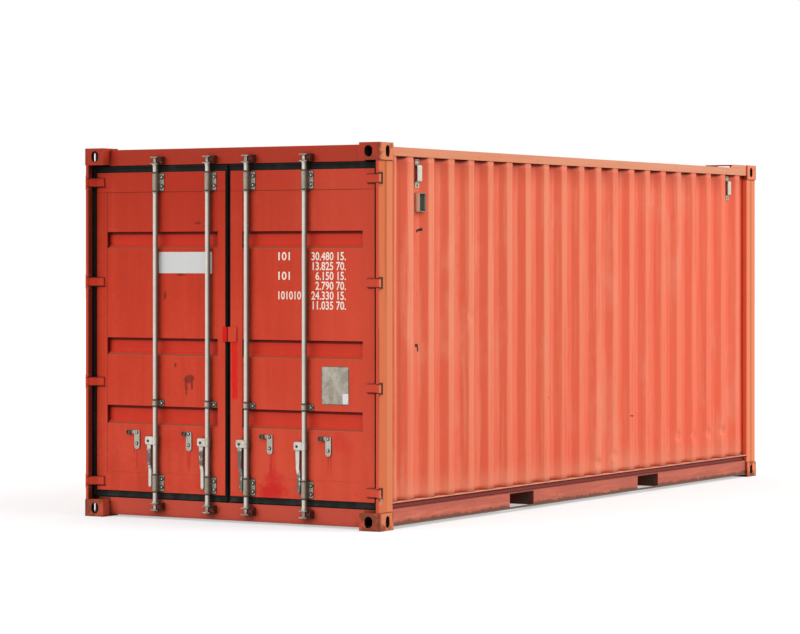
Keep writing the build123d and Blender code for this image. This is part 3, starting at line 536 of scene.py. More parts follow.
def corrugated_wall(name, side, dents, finish):
    """Height by length grid. The depth follows the corrugation, with a slow wave of a
    millimetre and a dent of Gaussian form on the ridges that took knocks."""
    x = wall_columns()
    z = np.linspace(wall_low.z, wall_high.z, 58)
    for _, height, _ in dents:
        z = np.append(z, height + DENT_HEIGHT * np.linspace(-1.5, 1.5, 9))
    z = np.unique(np.clip(z, wall_low.z, wall_high.z))
    across, up = np.meshgrid(x, z)
    inset = np.tile(wall_inset(x), (len(z), 1))
    inset += 0.0009 * (1 + np.sin(across * 2.3 + up * 1.7) * np.sin(up * 2.9 - across * 0.8 + 0.4))
    for ridge, height, deep in dents:
        middle = door_plane + FIRST_RIDGE + ridge * WALL_PITCH
        fall = ((across - middle) / DENT_LENGTH) ** 2 + ((up - height) / DENT_HEIGHT) ** 2
        inset += deep * np.exp(-fall)
    points = np.stack((across, side * (half_width - inset), up), -1)
    if side > 0:
        points = points[:, ::-1]
    wall = new_piece(name, points, grid_faces(*across.shape), finish, True)
    skin = wall.modifiers.new("skin", "SOLIDIFY")
    skin.thickness = WALL_SKIN
    skin.offset = -1
    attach(wall, "container")
    return wall


def scrape(place, colour, start, end, width, ink):
    """A short rubbed mark between two places on the wall, given as length and height."""
    x, _, z = place.parts()
    run, rise = end[0] - start[0], end[1] - start[1]
    length = math.hypot(run, rise)
    along = (x - start[0]) * (run / length) + (z - start[1]) * (rise / length)
    off = (x - start[0]) * (-rise / length) + (z - start[1]) * (run / length)
    wobble = place.noise(45, 2) * 0.016 - 0.008
    inside = (along + wobble * 1.5).step(0, 0.006) * (along + wobble).step(length, length - 0.006)
    mark = (off + wobble).size().step(width, width * 0.6) * inside
    return colour.toward(ink, mark)


SIDE_VALLEY = (0.8, 0.165, 0.084, 1)
SIDE_RIDGE = (0.8, 0.255, 0.135, 1)
SIDE_SLOPE = (0.7, 0.106, 0.045, 1)
SIDE_DEEP = (0.74, 0.11, 0.05, 1)
SIDE_CHALKY = (0.82, 0.3, 0.18, 1)
SIDE_BRIGHT = (0.93, 0.15, 0.074, 1)
SIDE_TAN = (0.76, 0.24, 0.115, 1)
SIDE_RUN = (0.74, 0.09, 0.04, 1)
SIDE_WARM = (0.78, 0.13, 0.062, 1)
SIDE_FIRST = (0.6, 0.09, 0.032, 1)
SIDE_RED = (0.5, 0.06, 0.022, 1)
SIDE_SHADOW = (0.17, 0.012, 0.006, 1)
SIDE_POST_SHADE = (0.79, 0.1, 0.045, 1)
FAR_BEND = (0.9, 0.17, 0.075, 1)
SIDE_DUSTY = (0.74, 0.245, 0.14, 1)
SCRAPE_INK = (0.012, 0.008, 0.008, 1)
SCRAPE_RED = (0.24, 0.03, 0.018, 1)
RIGHT_SCRAPES = (
    ((-2.484, 1.998), (-2.41, 2.018), 0.011, SCRAPE_INK),
    ((-2.496, 1.226), (-2.452, 1.222), 0.013, SCRAPE_INK),
    ((-2.462, 1.222), (-2.456, 1.18), 0.011, SCRAPE_INK),
    ((-2.54, 2.436), (-2.52, 2.432), 0.011, SCRAPE_RED),
    ((-1.99, 2.33), (-1.968, 2.3), 0.005, SCRAPE_RED),
    ((0.7, 0.604), (0.76, 0.6), 0.008, SCRAPE_RED),
    ((-0.63, 0.806), (-0.61, 0.79), 0.012, SCRAPE_RED),
)


def bleached(place, patches, streaks, mottle):
    """Orange gone chalky in drifting patches, with redder runs between them."""
    tone = patches * 0.45 + streaks * 0.35 + mottle * 0.2
    colour = blend(tone.step(0.56, 0.36), SIDE_VALLEY, SIDE_DEEP)
    return colour.toward(SIDE_CHALKY, tone.step(0.54, 0.68) * 0.35)


def side_paint(name, dents, scrapes=()):
    """Palest on the ridges. Painted shade, with less bleached paint, on the slopes; painted shade in
    the valleys under the rail with a painted shadow line right under it; painted shade beside the
    far post. Darker red over the first bend by the near post, dusty at the foot, and over each
    dent a painted highlight on its upper half and painted shade on its lower half."""
    finish, shader, place = blank_finish(name)
    patches, streaks, mottle = weather(place)
    x, y, z = place.parts()
    recess = x - door_plane
    inset = half_width - y.size()
    ridge = inset.step(WALL_INSET + WALL_DEPTH * 0.35, WALL_INSET + WALL_DEPTH * 0.05)
    slope = face_turn(place)[0].size().step(0.12, 0.42)
    chalk = place.noise(2.2, 5, 0.65, (1, 1, 0.5)).step(0.5, 0.72)
    runs = place.noise(1, 5, 0.7, (22, 22, 0.9))
    spots = place.noise(34, 4, 0.6, (1, 1, 0.8)).step(0.7, 0.78)
    specks = place.noise(19, 6, 0.75, (1, 1, 0.6)).step(0.705, 0.745)
    drop = wall_high.z - z + streaks * 0.05
    height = z - wall_low.z + streaks * 0.12
    colour = bleached(place, patches, streaks, mottle).coats(
        (SIDE_WARM, z.step(1.8, 0.5) * 0.45),
        (SIDE_RIDGE, ridge * z.step(0.3, 1.9) * 0.45 + ridge * 0.28),
        # Painted shade on the slopes, where the paint is also less bleached
        (SIDE_SLOPE, slope * 0.9),
        (SIDE_BRIGHT, x.step(-2.2, 2.6) * 0.62),
        (SIDE_CHALKY, chalk * 0.45),
        (SIDE_TAN, runs.step(0.52, 0.64) * 0.45),
        (SIDE_RUN, runs.step(0.46, 0.36) * 0.45),
        (SIDE_CHALKY, spots * 0.7),
        (SIDE_RED, specks * 0.8),
        (SIDE_FIRST, recess.within(0.24, 0.33, 0.01) * 0.8),
        # Painted shade in the valleys under the top rail, and a painted shadow line right under it
        (SIDE_RED, drop.step(0.24, 0.02) * (0.25 + 0.35 * (1 - ridge))),
        (SIDE_SHADOW, drop.step(0.056, 0.022) * (0.25 + 0.6 * (1 - ridge))),
        # Painted shade on the wall beside the far post
        (SIDE_POST_SHADE, (wall_high.x - x).step(0.12, 0.04) * 0.8),
        (SIDE_DUSTY, height.step(0.26, 0.06) * 0.55))
    for dented, up, deep in dents:
        wide = (recess - FIRST_RIDGE - dented * WALL_PITCH) * (1 / DENT_LENGTH)
        tall = (z - up) * (1 / DENT_HEIGHT)
        # A painted highlight on each dent's upper half and painted shade on its lower half
        dent_light = (wide * wide + tall * tall + mottle * 1.4).step(1.7, 0.6) * min(deep * 45, 0.8)
        colour = colour.coats(
            (SIDE_CHALKY, dent_light * tall.step(-0.2, 0.5)), (SIDE_RED, dent_light * tall.step(-0.1, -0.7) * 0.6))
    for start, end, width, ink in scrapes:
        colour = scrape(place, colour, start, end, width, ink)
    colour, speckled = soil(place, colour, mottle, 0.04, 0.45)
    feed(
        shader, Base_Color=colour, Roughness=mottle.step(0.2, 0.9) * 0.2 + speckled * 0.2 + 0.48,
        Normal=(mottle * 0.25 + streaks * 0.3).bump(0.12, 0.003), Specular_IOR_Level=0.28)
    return finish


right_paint = side_paint("right_side_paint", RIGHT_DENTS, RIGHT_SCRAPES)
wall_right = corrugated_wall("side_sheet_right", -1, RIGHT_DENTS, right_paint)
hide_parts("side_wall_right")
wall_left = corrugated_wall("side_sheet_left", 1, LEFT_DENTS, side_paint("left_side_paint", LEFT_DENTS))
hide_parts("side_wall_left")

# Rails, roof and closed end
# Square-tube top rails and pressed bottom rails in the same bleached paint. Their lower edges
# have lost it to rust where water hangs and forks scrape.
RAIL_RUST = (0.13, 0.06, 0.036, 1)
RAIL_TAN = (0.74, 0.3, 0.17, 1)
RAIL_ORANGE = (0.67, 0.225, 0.105, 1)
RAIL_RED = (0.46, 0.105, 0.068, 1)
RAIL_DULL = (0.56, 0.13, 0.076, 1)
RAIL_WEB = (0.37, 0.044, 0.03, 1)
RAIL_SHADE = (0.13, 0.01, 0.006, 1)
WEB_TOP = 0.176
WEB_FOOT = 0.138
FAR_RUN = 0.09


def aged(shader, place, colour, mottle, relief, rough, crevice=0.04, shade_and_grime=0.6):
    """Grime and painted shade, rust specks, worn edges with a painted highlight, and a fine relief
    over the finished colour.
    """
    colour, speckled = soil(place, colour, mottle, crevice, shade_and_grime)
    colour, rounded = soft_edges(place, colour, mottle)
    feed(
        shader, Base_Color=colour, Roughness=mottle * 0.2 + speckled * 0.2 + rough,
        Normal=mottle.bump(relief, 0.003, rounded), Specular_IOR_Level=0.28)


def top_rail_paint(name, shade_and_grime=0.6):
    """Tan, more orange in long patches along the tube."""
    finish, shader, place = blank_finish(name)
    mottle = weather(place)[2]
    along = place.noise(2, 4, 0.6, (0.7, 1, 14))
    brighter = place.parts()[0].step(-2.2, 2.2) * 0.6
    colour = blend(along.step(0.36, 0.62) * 0.4 + brighter, RAIL_ORANGE, RAIL_TAN)
    colour = colour.toward(SIDE_SLOPE, mottle.step(0.6, 0.75) * 0.35)
    colour, _ = soil(place, colour, mottle, 0.04, shade_and_grime)
    colour, rounded = soft_edges(place, colour, mottle)
    feed(shader, Base_Color=colour, Roughness=mottle * 0.2 + 0.45, Normal=rounded, Specular_IOR_Level=0.28)
    return finish


def bottom_rail_paint(name):
    """A dusty lip, a dark red web under it, a paler lower web and a ragged rusty edge."""
    finish, shader, place = blank_finish(name)
    mottle = weather(place)[2]
    z = place.parts()[2]
    along = place.noise(2.4, 5, 0.65, (0.8, 1, 9))
    rough_edge = place.noise(9, 6, 0.75, (1, 1, 0.3))
    colour = blend(along.step(0.38, 0.62), RAIL_RED, RAIL_DULL).coats(
        (SIDE_CHALKY, along.step(0.52, 0.72) * z.step(0.12, 0.06) * 0.4),
        (RAIL_WEB, z.within(WEB_FOOT, WEB_TOP, 0.001)),
        (RAIL_SHADE, z.within(WEB_TOP - 0.014, WEB_TOP, 0.003) * 0.9),
        (RAIL_SHADE, z.within(WEB_FOOT - 0.003, WEB_FOOT + 0.007, 0.003) * 0.8),
        (SIDE_CHALKY, z.step(WEB_TOP - 0.001, WEB_TOP + 0.001) * 0.9),
        (RAIL_RUST, (z + rough_edge * 0.08).step(0.097, 0.08) * 0.9))
    aged(shader, place, colour, mottle, 0.15, 0.5)
    return finish


def sheet_paint(name, low_rust=0.0):
    """The same bleached orange on the roof and the closed end, with rust in loose patches."""
    finish, shader, place = blank_finish(name)
    patches, streaks, mottle = weather(place)
    colour = bleached(place, patches, streaks, mottle)
    blotches = place.noise(3.5, 6, 0.75)
    colour = colour.toward(RAIL_RUST, (blotches + low_rust).step(0.66, 0.76) * 0.7)
    aged(shader, place, colour, mottle, 0.12, 0.48, 0.05, 0.7)
    return finish


dress(top_rail_paint("top_rail_paint"), "top_rail_left", "top_rail_right")
dress(bottom_rail_paint("bottom_rail_paint"), "bottom_rail_left", "bottom_rail_right")
dress(sheet_paint("roof_paint", 0.03), "roof_panel")
dress(top_rail_paint("corner_plate_paint", 0.0), "roof_corner_plates")
dress(sheet_paint("closed_end_paint"), "front_top_rail", "front_bottom_rail", "front_wall")


def far_post_marks(place, colour):
    """Redder on the faces that look along the length, and an orange run down the outer face."""
    x, _, z = place.parts()
    run = (half_length - x - FAR_RUN).size().step(0.02, 0.008)
    return colour.coats(
        (FAR_BEND, face_turn(place)[0].size().step(0.4, 0.8) * 0.85),
        (RUST_ORANGE, run * outward(place).step(0.3, 0.8) * 0.45),
        (POST_LINE, casting_joint(z) * 0.8))


far_post_paint = end_paint("front_post_paint", far_post_marks, 0.02, 0.3)
dress(far_post_paint, "front_post_left", "front_post_right")

# Floor and underside
# Plywood boards screwed to steel cross members; the steel below is dark red with road dirt.
PLY_BROWN = (0.3, 0.17, 0.085, 1)
PLY_DARK = (0.13, 0.068, 0.034, 1)
UNDER_RED = (0.2, 0.032, 0.02, 1)
UNDER_DIRT = (0.09, 0.052, 0.034, 1)
BOARD_LENGTH = 1.2


def plywood(name):
    """Long grain along the length, darker board joints every 1.2 m and scuffs."""
    finish, shader, place = blank_finish(name)
    grain = place.noise(1, 6, 0.7, (2, 46, 46))
    scuffs = place.noise(5, 5, 0.65, (0.5, 1, 1)).step(0.45, 0.75)
    x = place.parts()[0]
    colour = blend(grain, PLY_DARK, PLY_BROWN).coats(
        (UNDER_DIRT, scuffs * 0.6), (PLY_DARK, x.math("PINGPONG", x, BOARD_LENGTH / 2).step(0.006, 0.002)))
    feed(shader, Base_Color=colour, Roughness=0.7, Normal=grain.bump(0.3, 0.002))
    return finish


def underside_paint(name):
    finish, shader, place = blank_finish(name)
    mud = place.noise(6, 6, 0.7)
    base = blend(mud.step(0.4, 0.65), UNDER_RED, UNDER_DIRT)
    feed(shader, Base_Color=base, Roughness=0.8, Normal=mud.bump(0.3, 0.003))
    return finish


dress(plywood("floor_plywood"), "floor_boards")
dress(underside_paint("underside_paint"), "cross_members", "fork_pockets")

# Door leaves
# Hollow-section frames with a pressed panel welded in, three recessed bands across it. Rain
# dust lies at the foot of each band, and paint rubbed or touched up shows as fresher red.
BAND_TOPS = (2.0027, 1.2613, 0.7857)
BAND_FEET = (1.8843, 1.1385, 0.6539)
BAND_RED = (0.65, 0.03, 0.012, 1)
BAND_SHADE = (0.15, 0.005, 0.003, 1)
BAND_DUST = (0.29, 0.075, 0.042, 1)
FRESH_SOFT = (0.64, 0.018, 0.012, 1)
VIVID_RED = (0.76, 0.008, 0.003, 1)
SCRATCH_DARK = (0.2, 0.018, 0.012, 1)
PANEL_RECESS = 0.075
STRAP_START = 1.078
SHADE_HALF = 0.01
DUST_UP = 0.005
DUST_HALF = 0.009
# Each fresh smear: its middle across and up, its half width, its half height and its strength
FRESH_SMEARS = (
    (-0.31, 0.225, 0.135, 0.06, 0.95), (-0.33, 0.3, 0.085, 0.075, 0.75),
    (-0.318, 0.4, 0.03, 0.13, 0.45), (-0.85, 0.585, 0.05, 0.07, 0.4),
    (-0.6, 0.23, 0.08, 0.05, 0.4), (0.3, 0.26, 0.1, 0.06, 0.25))
# The vivid touch-up beside the middle gasket
VIVID_ACROSS = (-0.032, 0.016)
VIVID_UP = (0.86, 1.25)
# Each knock: its middle across and up, and its half sizes
KNOCKS = (
    (0.372, 0.985, 0.042, 0.03), (0.398, 0.925, 0.012, 0.065), (0.35, 0.945, 0.01, 0.04),
    (0.442, 1.704, 0.05, 0.01), (0.576, 1.561, 0.012, 0.03), (0.491, 1.075, 0.014, 0.02),
    (0.3, 2.06, 0.03, 0.014))
RETAINER_STREAKS = (0.828, 0.375, -0.306, -0.778)
panel_low, panel_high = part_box("door_right_panel")


def leaf_marks(place, colour):
    """Painted shade under each band's top edge and at its ends, dust at its foot, painted shadow
    lines under the hinge straps, dark lines in the welded seams, fresh smears and knocks."""
    x, y, z = place.parts()
    inside = (x - door_plane).step(PANEL_RECESS + 0.0005, PANEL_RECESS + 0.004)
    shade = z.nearest([top - SHADE_HALF for top in BAND_TOPS]).step(SHADE_HALF + 0.003, SHADE_HALF - 0.003)
    dust = z.nearest([foot + DUST_UP for foot in BAND_FEET]).step(DUST_HALF + 0.003, DUST_HALF - 0.003)
    seams = z.nearest((panel_low.z, panel_high.z))
    under = z.nearest([height - HINGE_HALF + 0.002 for height in HINGE_HEIGHTS])
    colour = colour.coats(
        (BAND_RED, inside * 0.65),
        (BAND_DUST, inside * dust * place.noise(9, 3).step(0.15, 0.45) * 0.9),
        (BAND_SHADE, inside * shade * 0.95),
        (BAND_SHADE, face_turn(place)[1].size().step(0.5, 0.8) * inside),
        (BAND_SHADE, seams.step(0.005, 0.002) * z.step(0.1, 1) * 0.4),
        # Painted shadow under each hinge strap
        (BAND_SHADE, under.step(0.006, 0.002) * y.size().step(STRAP_START, STRAP_START + 0.006) * 0.8))
    ragged = place.noise(14, 6, 0.75) - 0.5

    def spot(across, up, half_wide, half_tall, unevenness):
        wide, tall = (y - across) * (1 / half_wide), (z - up) * (1 / half_tall)
        return wide * wide + tall * tall + ragged * unevenness

    for *patch, strength in FRESH_SMEARS:
        colour = colour.toward(FRESH_SOFT, spot(*patch, 3.2).step(1.5, 0.1) * strength)
    worn = place.noise(22, 5, 0.75).step(0.3, 0.42)
    vivid = (y + ragged * 0.05).within(*VIVID_ACROSS, 0.004) * (z + ragged * 0.2).within(*VIVID_UP, 0.02)
    wet = place.noise(1, 3, 0.6, (60, 60, 2)).step(0.45, 0.6) * z.within(0.36, 0.54, 0.05)
    touched = place.noise(3.1, 4, 0.6).step(0.58, 0.72) * z.step(1.2, 0.35)
    colour = colour.coats(
        (VIVID_RED, vivid * worn * 0.95),
        (RED_DEEP, y.nearest(RETAINER_STREAKS).step(0.024, 0.008) * wet * 0.7),
        (FRESH_SOFT, touched * 0.35))
    for patch in KNOCKS:
        colour = colour.toward(SCRATCH_DARK, spot(*patch, 5).step(1.1, 0.4) * 0.8)
    return colour.toward(SCRATCH_DARK, place.noise(9.5, 6, 0.75).step(0.7, 0.745) * 0.6)


leaf_paint = end_paint("leaf_red_paint", leaf_marks, 0.06, 0.25)
dress(leaf_paint, "door_left_frame", "door_left_panel", "door_right_frame", "door_right_panel")

# Centre lug plates
# Flat steel plates welded to the meeting edges of the two leaves, where a seal or padlock
# passes. The left one has newer, more vivid paint; the right one is scratched.
LUG_FRESH = (0.7, 0.001, 0.001, 1)


def lug_marks(place, colour):
    scratched = place.noise(14, 4, 0.7, (1, 0.5, 2.2)).step(0.6, 0.68)
    fresh = place.parts()[1].step(0.045, 0.05)
    return colour.coats((LUG_FRESH, fresh * 0.95), (SCRATCH_DARK, scratched * (1 - fresh) * 0.35))


lug_paint = end_paint("lug_plate_paint", lug_marks, 0.02, 0.1)
dress(lug_paint, "door_left_lug_plate", "door_right_lug_plate")

# Gaskets
# Black rubber extrusions clamped round each leaf, filling the gap to the end frame. Each has a
# raised lip at its outer edge and a hollow channel beside the leaf.
RUBBER = (0.006, 0.0065, 0.006, 1)
RUBBER_DUSTY = (0.034, 0.037, 0.032, 1)


def rubber(name):
    finish, shader, place = blank_finish(name)
    bloom = place.noise(12, 4, 0.6, (1, 1, 0.6))
    low = place.parts()[2].step(0.3, 0.14)
    dusty = bloom.step(0.5, 0.8) * 0.5 + low * bloom.step(0.3, 0.7) * 0.6
    feed(
        shader, Base_Color=blend(dusty, RUBBER, RUBBER_DUSTY), Roughness=0.75,
        Normal=bloom.bump(0.2, 0.001), Specular_IOR_Level=0.18)
    return finish


black_rubber = rubber("black_rubber")
# The section, from the leaf outwards: share of the gap's width, and share of the depth
GASKET_SECTION = np.array((
    (0.0, 1.0), (0.0, 0.3), (0.08, 0.22), (0.3, 0.34), (0.55, 0.36), (0.74, 0.16),
    (0.84, 0.0), (0.94, 0.03), (1.0, 0.16), (1.0, 0.55), (0.9, 1.0)))


def gasket(leaf):
    """The section is carried round the leaf's four corners: each corner's point moves outward
    by its share of the width on the side that it closes."""
    name = "door_" + leaf + "_gasket"
    (x0, y0, z0), (x1, y1, z1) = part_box(name)
    (_, a0, b0), (_, a1, b1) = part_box("door_" + leaf + "_frame")
    inner = np.array(((a0, b0), (a1, b0), (a1, b1), (a0, b1)))
    outer = np.array(((y0, z0), (y1, z0), (y1, z1), (y0, z1)))
    share, depth = GASKET_SECTION[:, 0, None, None], GASKET_SECTION[:, 1, None, None]
    flat = inner + (outer - inner) * share
    deep = np.broadcast_to(x0 + (x1 - x0) * depth, flat.shape[:2] + (1,))
    points = np.concatenate((deep, flat), -1)
    faces = grid_faces(len(GASKET_SECTION), 4, True, True)
    piece = new_piece("rubber_" + leaf, points, faces, black_rubber)
    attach(piece, body_of[name])
    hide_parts(name)


gasket("left")
gasket("right")

# Locking gear
# Hot-dip galvanised tube, forged cams, pressed brackets and handles: pale grey with a faint
# spangle, tea-brown streaks from the joints, and rust where the zinc is rubbed off.
ZINC = (0.71, 0.68, 0.61, 1)
ZINC_DARK = (0.43, 0.395, 0.32, 1)
ZINC_PALE = (0.78, 0.76, 0.71, 1)
GEAR_RUST = (0.18, 0.11, 0.065, 1)
GEAR_GRIME_AND_SHADE = (0.03, 0.026, 0.02, 1)
PIN_POCKET_SHADE = (0.006, 0.006, 0.006, 1)
GEAR_SIDE_SHADE = (0.1, 0.072, 0.055, 1)
CAM_BROWN = (0.19, 0.135, 0.09, 1)
HUB_BROWN = (0.36, 0.25, 0.15, 1)
KNOB_BROWN = (0.09, 0.045, 0.03, 1)
KNOB_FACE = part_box("door_right_frame")[0].x - 0.01
RETAINER_GREY = (0.43, 0.39, 0.32, 1)
HOUSING_GREY = (0.3, 0.265, 0.19, 1)
bar_boxes = [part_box("locking_bar_" + number) for number in "1234"]
bar_middles = [(low.y + high.y) / 2 for low, high in bar_boxes]
CAM_ENDS = (0.18, 2.42)
PIN_ACROSS = 0.053
PIN_HEIGHT = 0.544
PIN_HOLE = 0.0095
# For each handle: where its worn dark stretch starts and ends
HANDLE_WORN = ((0.352, 0.49), (0.383, 0.495), (0.15, 0.505), (0.15, 0.365))
HANDLE_DARK = (0.07, 0.064, 0.052, 1)


def galvanised(name, rusty=0.0, tint=ZINC, marks=None, mottled=0.5, outline=0.75, side_shade=1.0):
    """Spangle from cells a few millimetres wide, streaks along the height, painted shade on the faces
    that look sideways, grime and painted shade in the corners, painted shade along the edges, and
    brown where worn."""
    finish, shader, place = blank_finish(name)
    cells = place.node("ShaderNodeTexVoronoi", (), {"Vector": place, "Scale": 130.0}, "Distance")
    streaks = place.noise(1, 4, 0.65, (30, 30, 3))
    patches = place.noise(16, 4, 0.6)
    tone = streaks * 0.5 + patches * 0.4 + cells * 0.1
    brown = (place.noise(30, 5, 0.7) + rusty).step(0.68, 0.78)
    colour = blend(tone.step(0.56, 0.36) * mottled, tint, ZINC_DARK).coats(
        (ZINC_PALE, tone.step(0.5, 0.64) * 0.4), (GEAR_RUST, brown * 0.7))
    if marks:
        colour = marks(place, colour)
    turn = face_turn(place)[1]
    # Painted shade on the faces that look sideways
    shaded = (turn.step(-0.36, -1) * 0.95).most(turn.step(0.5, 1) * 0.6) * side_shade
    rounded, facing = edges(place, 0.0035)
    colour = colour.coats(
        (GEAR_SIDE_SHADE, shaded),
        # Grime and painted shade in the corners, then painted shade along the sharp edges
        (GEAR_GRIME_AND_SHADE, (open_air(place, 0.03) + patches * 0.2).step(0.8, 0.35) * 0.9),
        (GEAR_GRIME_AND_SHADE, facing.step(0.995, 0.9) * outline))
    feed(
        shader, Base_Color=colour, Metallic=0.12 - brown * 0.1,
        Roughness=patches.step(0.2, 0.9) * 0.2 + 0.42,
        Normal=(patches + cells * 0.3).bump(0.2, 0.001, rounded), Specular_IOR_Level=0.3)
    return finish


def hub_marks(place, colour):
    """Painted black shade for a pocket round each hub's pin, a brown hub, and brown cams at
    both ends of the bar.
    """
    _, y, z = place.parts()
    off = y.nearest([middle + PIN_ACROSS for middle in bar_middles])
    rise = z - PIN_HEIGHT
    square = off * off + rise * rise
    brown = place.noise(40, 5, 0.75)
    ends = z.step(CAM_ENDS[1], CAM_ENDS[1] + 0.02).most(z.step(CAM_ENDS[0], CAM_ENDS[0] - 0.02))
    hub = rise.size().step(0.06, 0.04) * y.step(0.45, 0.05)
    return colour.coats(
        (CAM_BROWN, ends * brown.step(0.34, 0.52) * 0.8),
        (HUB_BROWN, hub * brown.step(0.4, 0.6) * y.step(-0.45, -0.2) * 0.7),
        # Painted shade: a black disc for the pocket round the pin
        (PIN_POCKET_SHADE, square.math("SQRT", square).step(PIN_HOLE, PIN_HOLE - 0.002)))


def knob_marks(place, colour):
    """The pegs that stand out from the retainers are dark with grease and rust."""
    return colour.toward(KNOB_BROWN, (place.parts()[0] - KNOB_FACE).step(0, -0.004) * 0.85)


def worn_stretch(start, end):
    """Marks for one handle: dark and rubbed between two heights."""
    def marks(place, colour):
        mottle = place.noise(26, 5, 0.75)
        z = place.parts()[2] + (mottle - 0.5) * 0.1
        return colour.toward(HANDLE_DARK, z.within(start, end, 0.014) * mottle.step(0.36, 0.5) * 0.9)
    return marks


leaf_foot, leaf_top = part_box("door_left_frame")[0].z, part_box("door_left_frame")[1].z
# Heights of the upper and lower ends of the bearings and the guides
RINGS = (leaf_top - 0.005, leaf_top - 0.135, leaf_foot + 0.125, leaf_foot + 0.005, 0.831, 0.786)


def ring_marks(place, colour):
    """Grease and dirt at both ends of each bearing and guide, and a dull housing between."""
    z = place.parts()[2]
    mottle = place.noise(50, 4, 0.75)
    housing = z.within(RINGS[1], RINGS[0], 0.003).most(z.within(RINGS[3], RINGS[2], 0.003))
    return colour.coats(
        (HOUSING_GREY, housing * mottle.step(0.32, 0.56) * 0.85),
        (GEAR_GRIME_AND_SHADE, z.nearest(RINGS).step(0.009, 0.005) * 0.85))


bar_zinc = galvanised("bar_zinc", 0.0, ZINC, ring_marks, 0.3)
hub_zinc = galvanised("hub_zinc", 0.02, ZINC, hub_marks)
bracket_zinc = galvanised("bracket_zinc", 0.05, RETAINER_GREY, ring_marks)
retainer_zinc = galvanised("retainer_zinc", 0.06, RETAINER_GREY, knob_marks)
for number, (start, end) in zip("1234", HANDLE_WORN):
    dress(bar_zinc, "locking_bar_" + number)
    dress(hub_zinc, "bar_cams_and_hub_" + number)
    handle_zinc = galvanised("handle_zinc_" + number, 0.02, ZINC, worn_stretch(start, end))
    dress(handle_zinc, "handle_" + number)
for leaf in ("left", "right"):
    dress(bracket_zinc, "door_" + leaf + "_bar_brackets")
    dress(retainer_zinc, "door_" + leaf + "_retainers")

# Bolts and rivets
# Zinc hex heads on washers hold the brackets, guides and retainers to the leaves; small domed
# rivets hold the data plate.
BOLT_SIDES = 12
# Pairs of radius and height above the seat
WASHER_PROFILE = np.array(((16.0, 0.0), (16.0, 1.2), (14.5, 2.0), (8.0, 2.2), (2.0, 2.2))) / 1000
BOLT_PROFILE = np.array(((7.0, 1.9), (7.0, 6.6), (5.8, 8.2), (2.0, 8.6))) / 1000
RIVET_PROFILE = np.array(((5.0, 0.0), (4.8, 0.8), (3.8, 1.7), (2.2, 2.2), (0.8, 2.35))) / 1000
bolt_finish = galvanised("bolt_zinc", 0.04)
washer_finish = galvanised("washer_grime", 0.1, GEAR_GRIME_AND_SHADE, None, 0.1)


def turned(name, profile, seats, facing, finish, body):
    """Each seat gets the same turned shape: seat + radius (cos t, sin t) across the facing axis
    + height along it, for every ring of the profile and every angle t."""
    t = np.linspace(0, 2 * math.pi, BOLT_SIDES, endpoint=False)
    axis, sign = facing
    ring = np.zeros((len(profile), BOLT_SIDES, 3))
    first, second = [n for n in range(3) if n != axis]
    ring[..., first] = profile[:, :1] * np.cos(t)
    ring[..., second] = profile[:, :1] * np.sin(t)
    ring[..., axis] = sign * profile[:, 1:]
    points = np.array(seats)[:, None, None, :] + ring
    one = np.array(grid_faces(len(profile), BOLT_SIDES, True))
    cap = np.arange(BOLT_SIDES) + (len(profile) - 1) * BOLT_SIDES
    seat_cap = np.arange(BOLT_SIDES)[::-1]
    if (sign > 0) == (axis == 1):
        one, cap, seat_cap = one[:, ::-1], cap[::-1], seat_cap[::-1]
    shift = np.arange(len(seats))[:, None, None] * len(profile) * BOLT_SIDES
    faces = (one + shift).reshape(-1, 4).tolist()
    faces += (cap + shift[:, 0]).tolist() + (seat_cap + shift[:, 0]).tolist()
    piece = new_piece(name, points, faces, finish)
    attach(piece, body)


leaf_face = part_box("door_right_frame")[0].x
plate_face = leaf_face - 0.006
BRACKET_BOLT_OFF = 0.041
BRACKET_BOLTS = (2.318, 2.38, 0.222, 0.28, 0.808)
RETAINER_OFF = 0.175
RETAINER_BOLTS = (0.6, 0.522)
RETAINER_FACE = leaf_face - 0.003
for leaf, bars, side in (("left", bar_middles[:2], 1), ("right", bar_middles[2:], -1)):
    seats = [(plate_face, y - BRACKET_BOLT_OFF, z) for y in bars for z in BRACKET_BOLTS]
    seats += [(RETAINER_FACE, y + side * RETAINER_OFF, z) for y in bars for z in RETAINER_BOLTS]
    body = "door_leaf_" + leaf
    turned("washers_" + leaf, WASHER_PROFILE, seats, (0, -1), washer_finish, body)
    turned("bolts_" + leaf, BOLT_PROFILE, seats, (0, -1), bolt_finish, body)

# Plates and numbers on the doors
# A blank white marking plate on the left leaf, and on the right a bare aluminium data plate and
# rows of plain numbers sprayed through a stencil in white.
PLATE_SIDES = 8
WHITE_PLATE = ((0.181, 0.63), (1.713, 1.861), 0.004, 0.0016)
DATA_PLATE = ((-0.932, -0.714), (0.83, 1.089), 0.022, 0.0022)
PLATE_BULGE = 0.004
RIVET_INSET = 0.013
PATCH_ACROSS = (-0.924, -0.878)
PATCH_UP = (0.842, 0.913)
PLATE_WHITE = (0.665, 0.672, 0.665, 1)
PLATE_SILVER = (0.29, 0.26, 0.205, 1)
PLATE_BRIGHT = (0.43, 0.4, 0.33, 1)
PLATE_EDGE = (0.06, 0.045, 0.035, 1)
PLATE_STAIN = (0.3, 0.165, 0.125, 1)
PLATE_PALE = (0.76, 0.76, 0.74, 1)
panel_face = panel_low.x


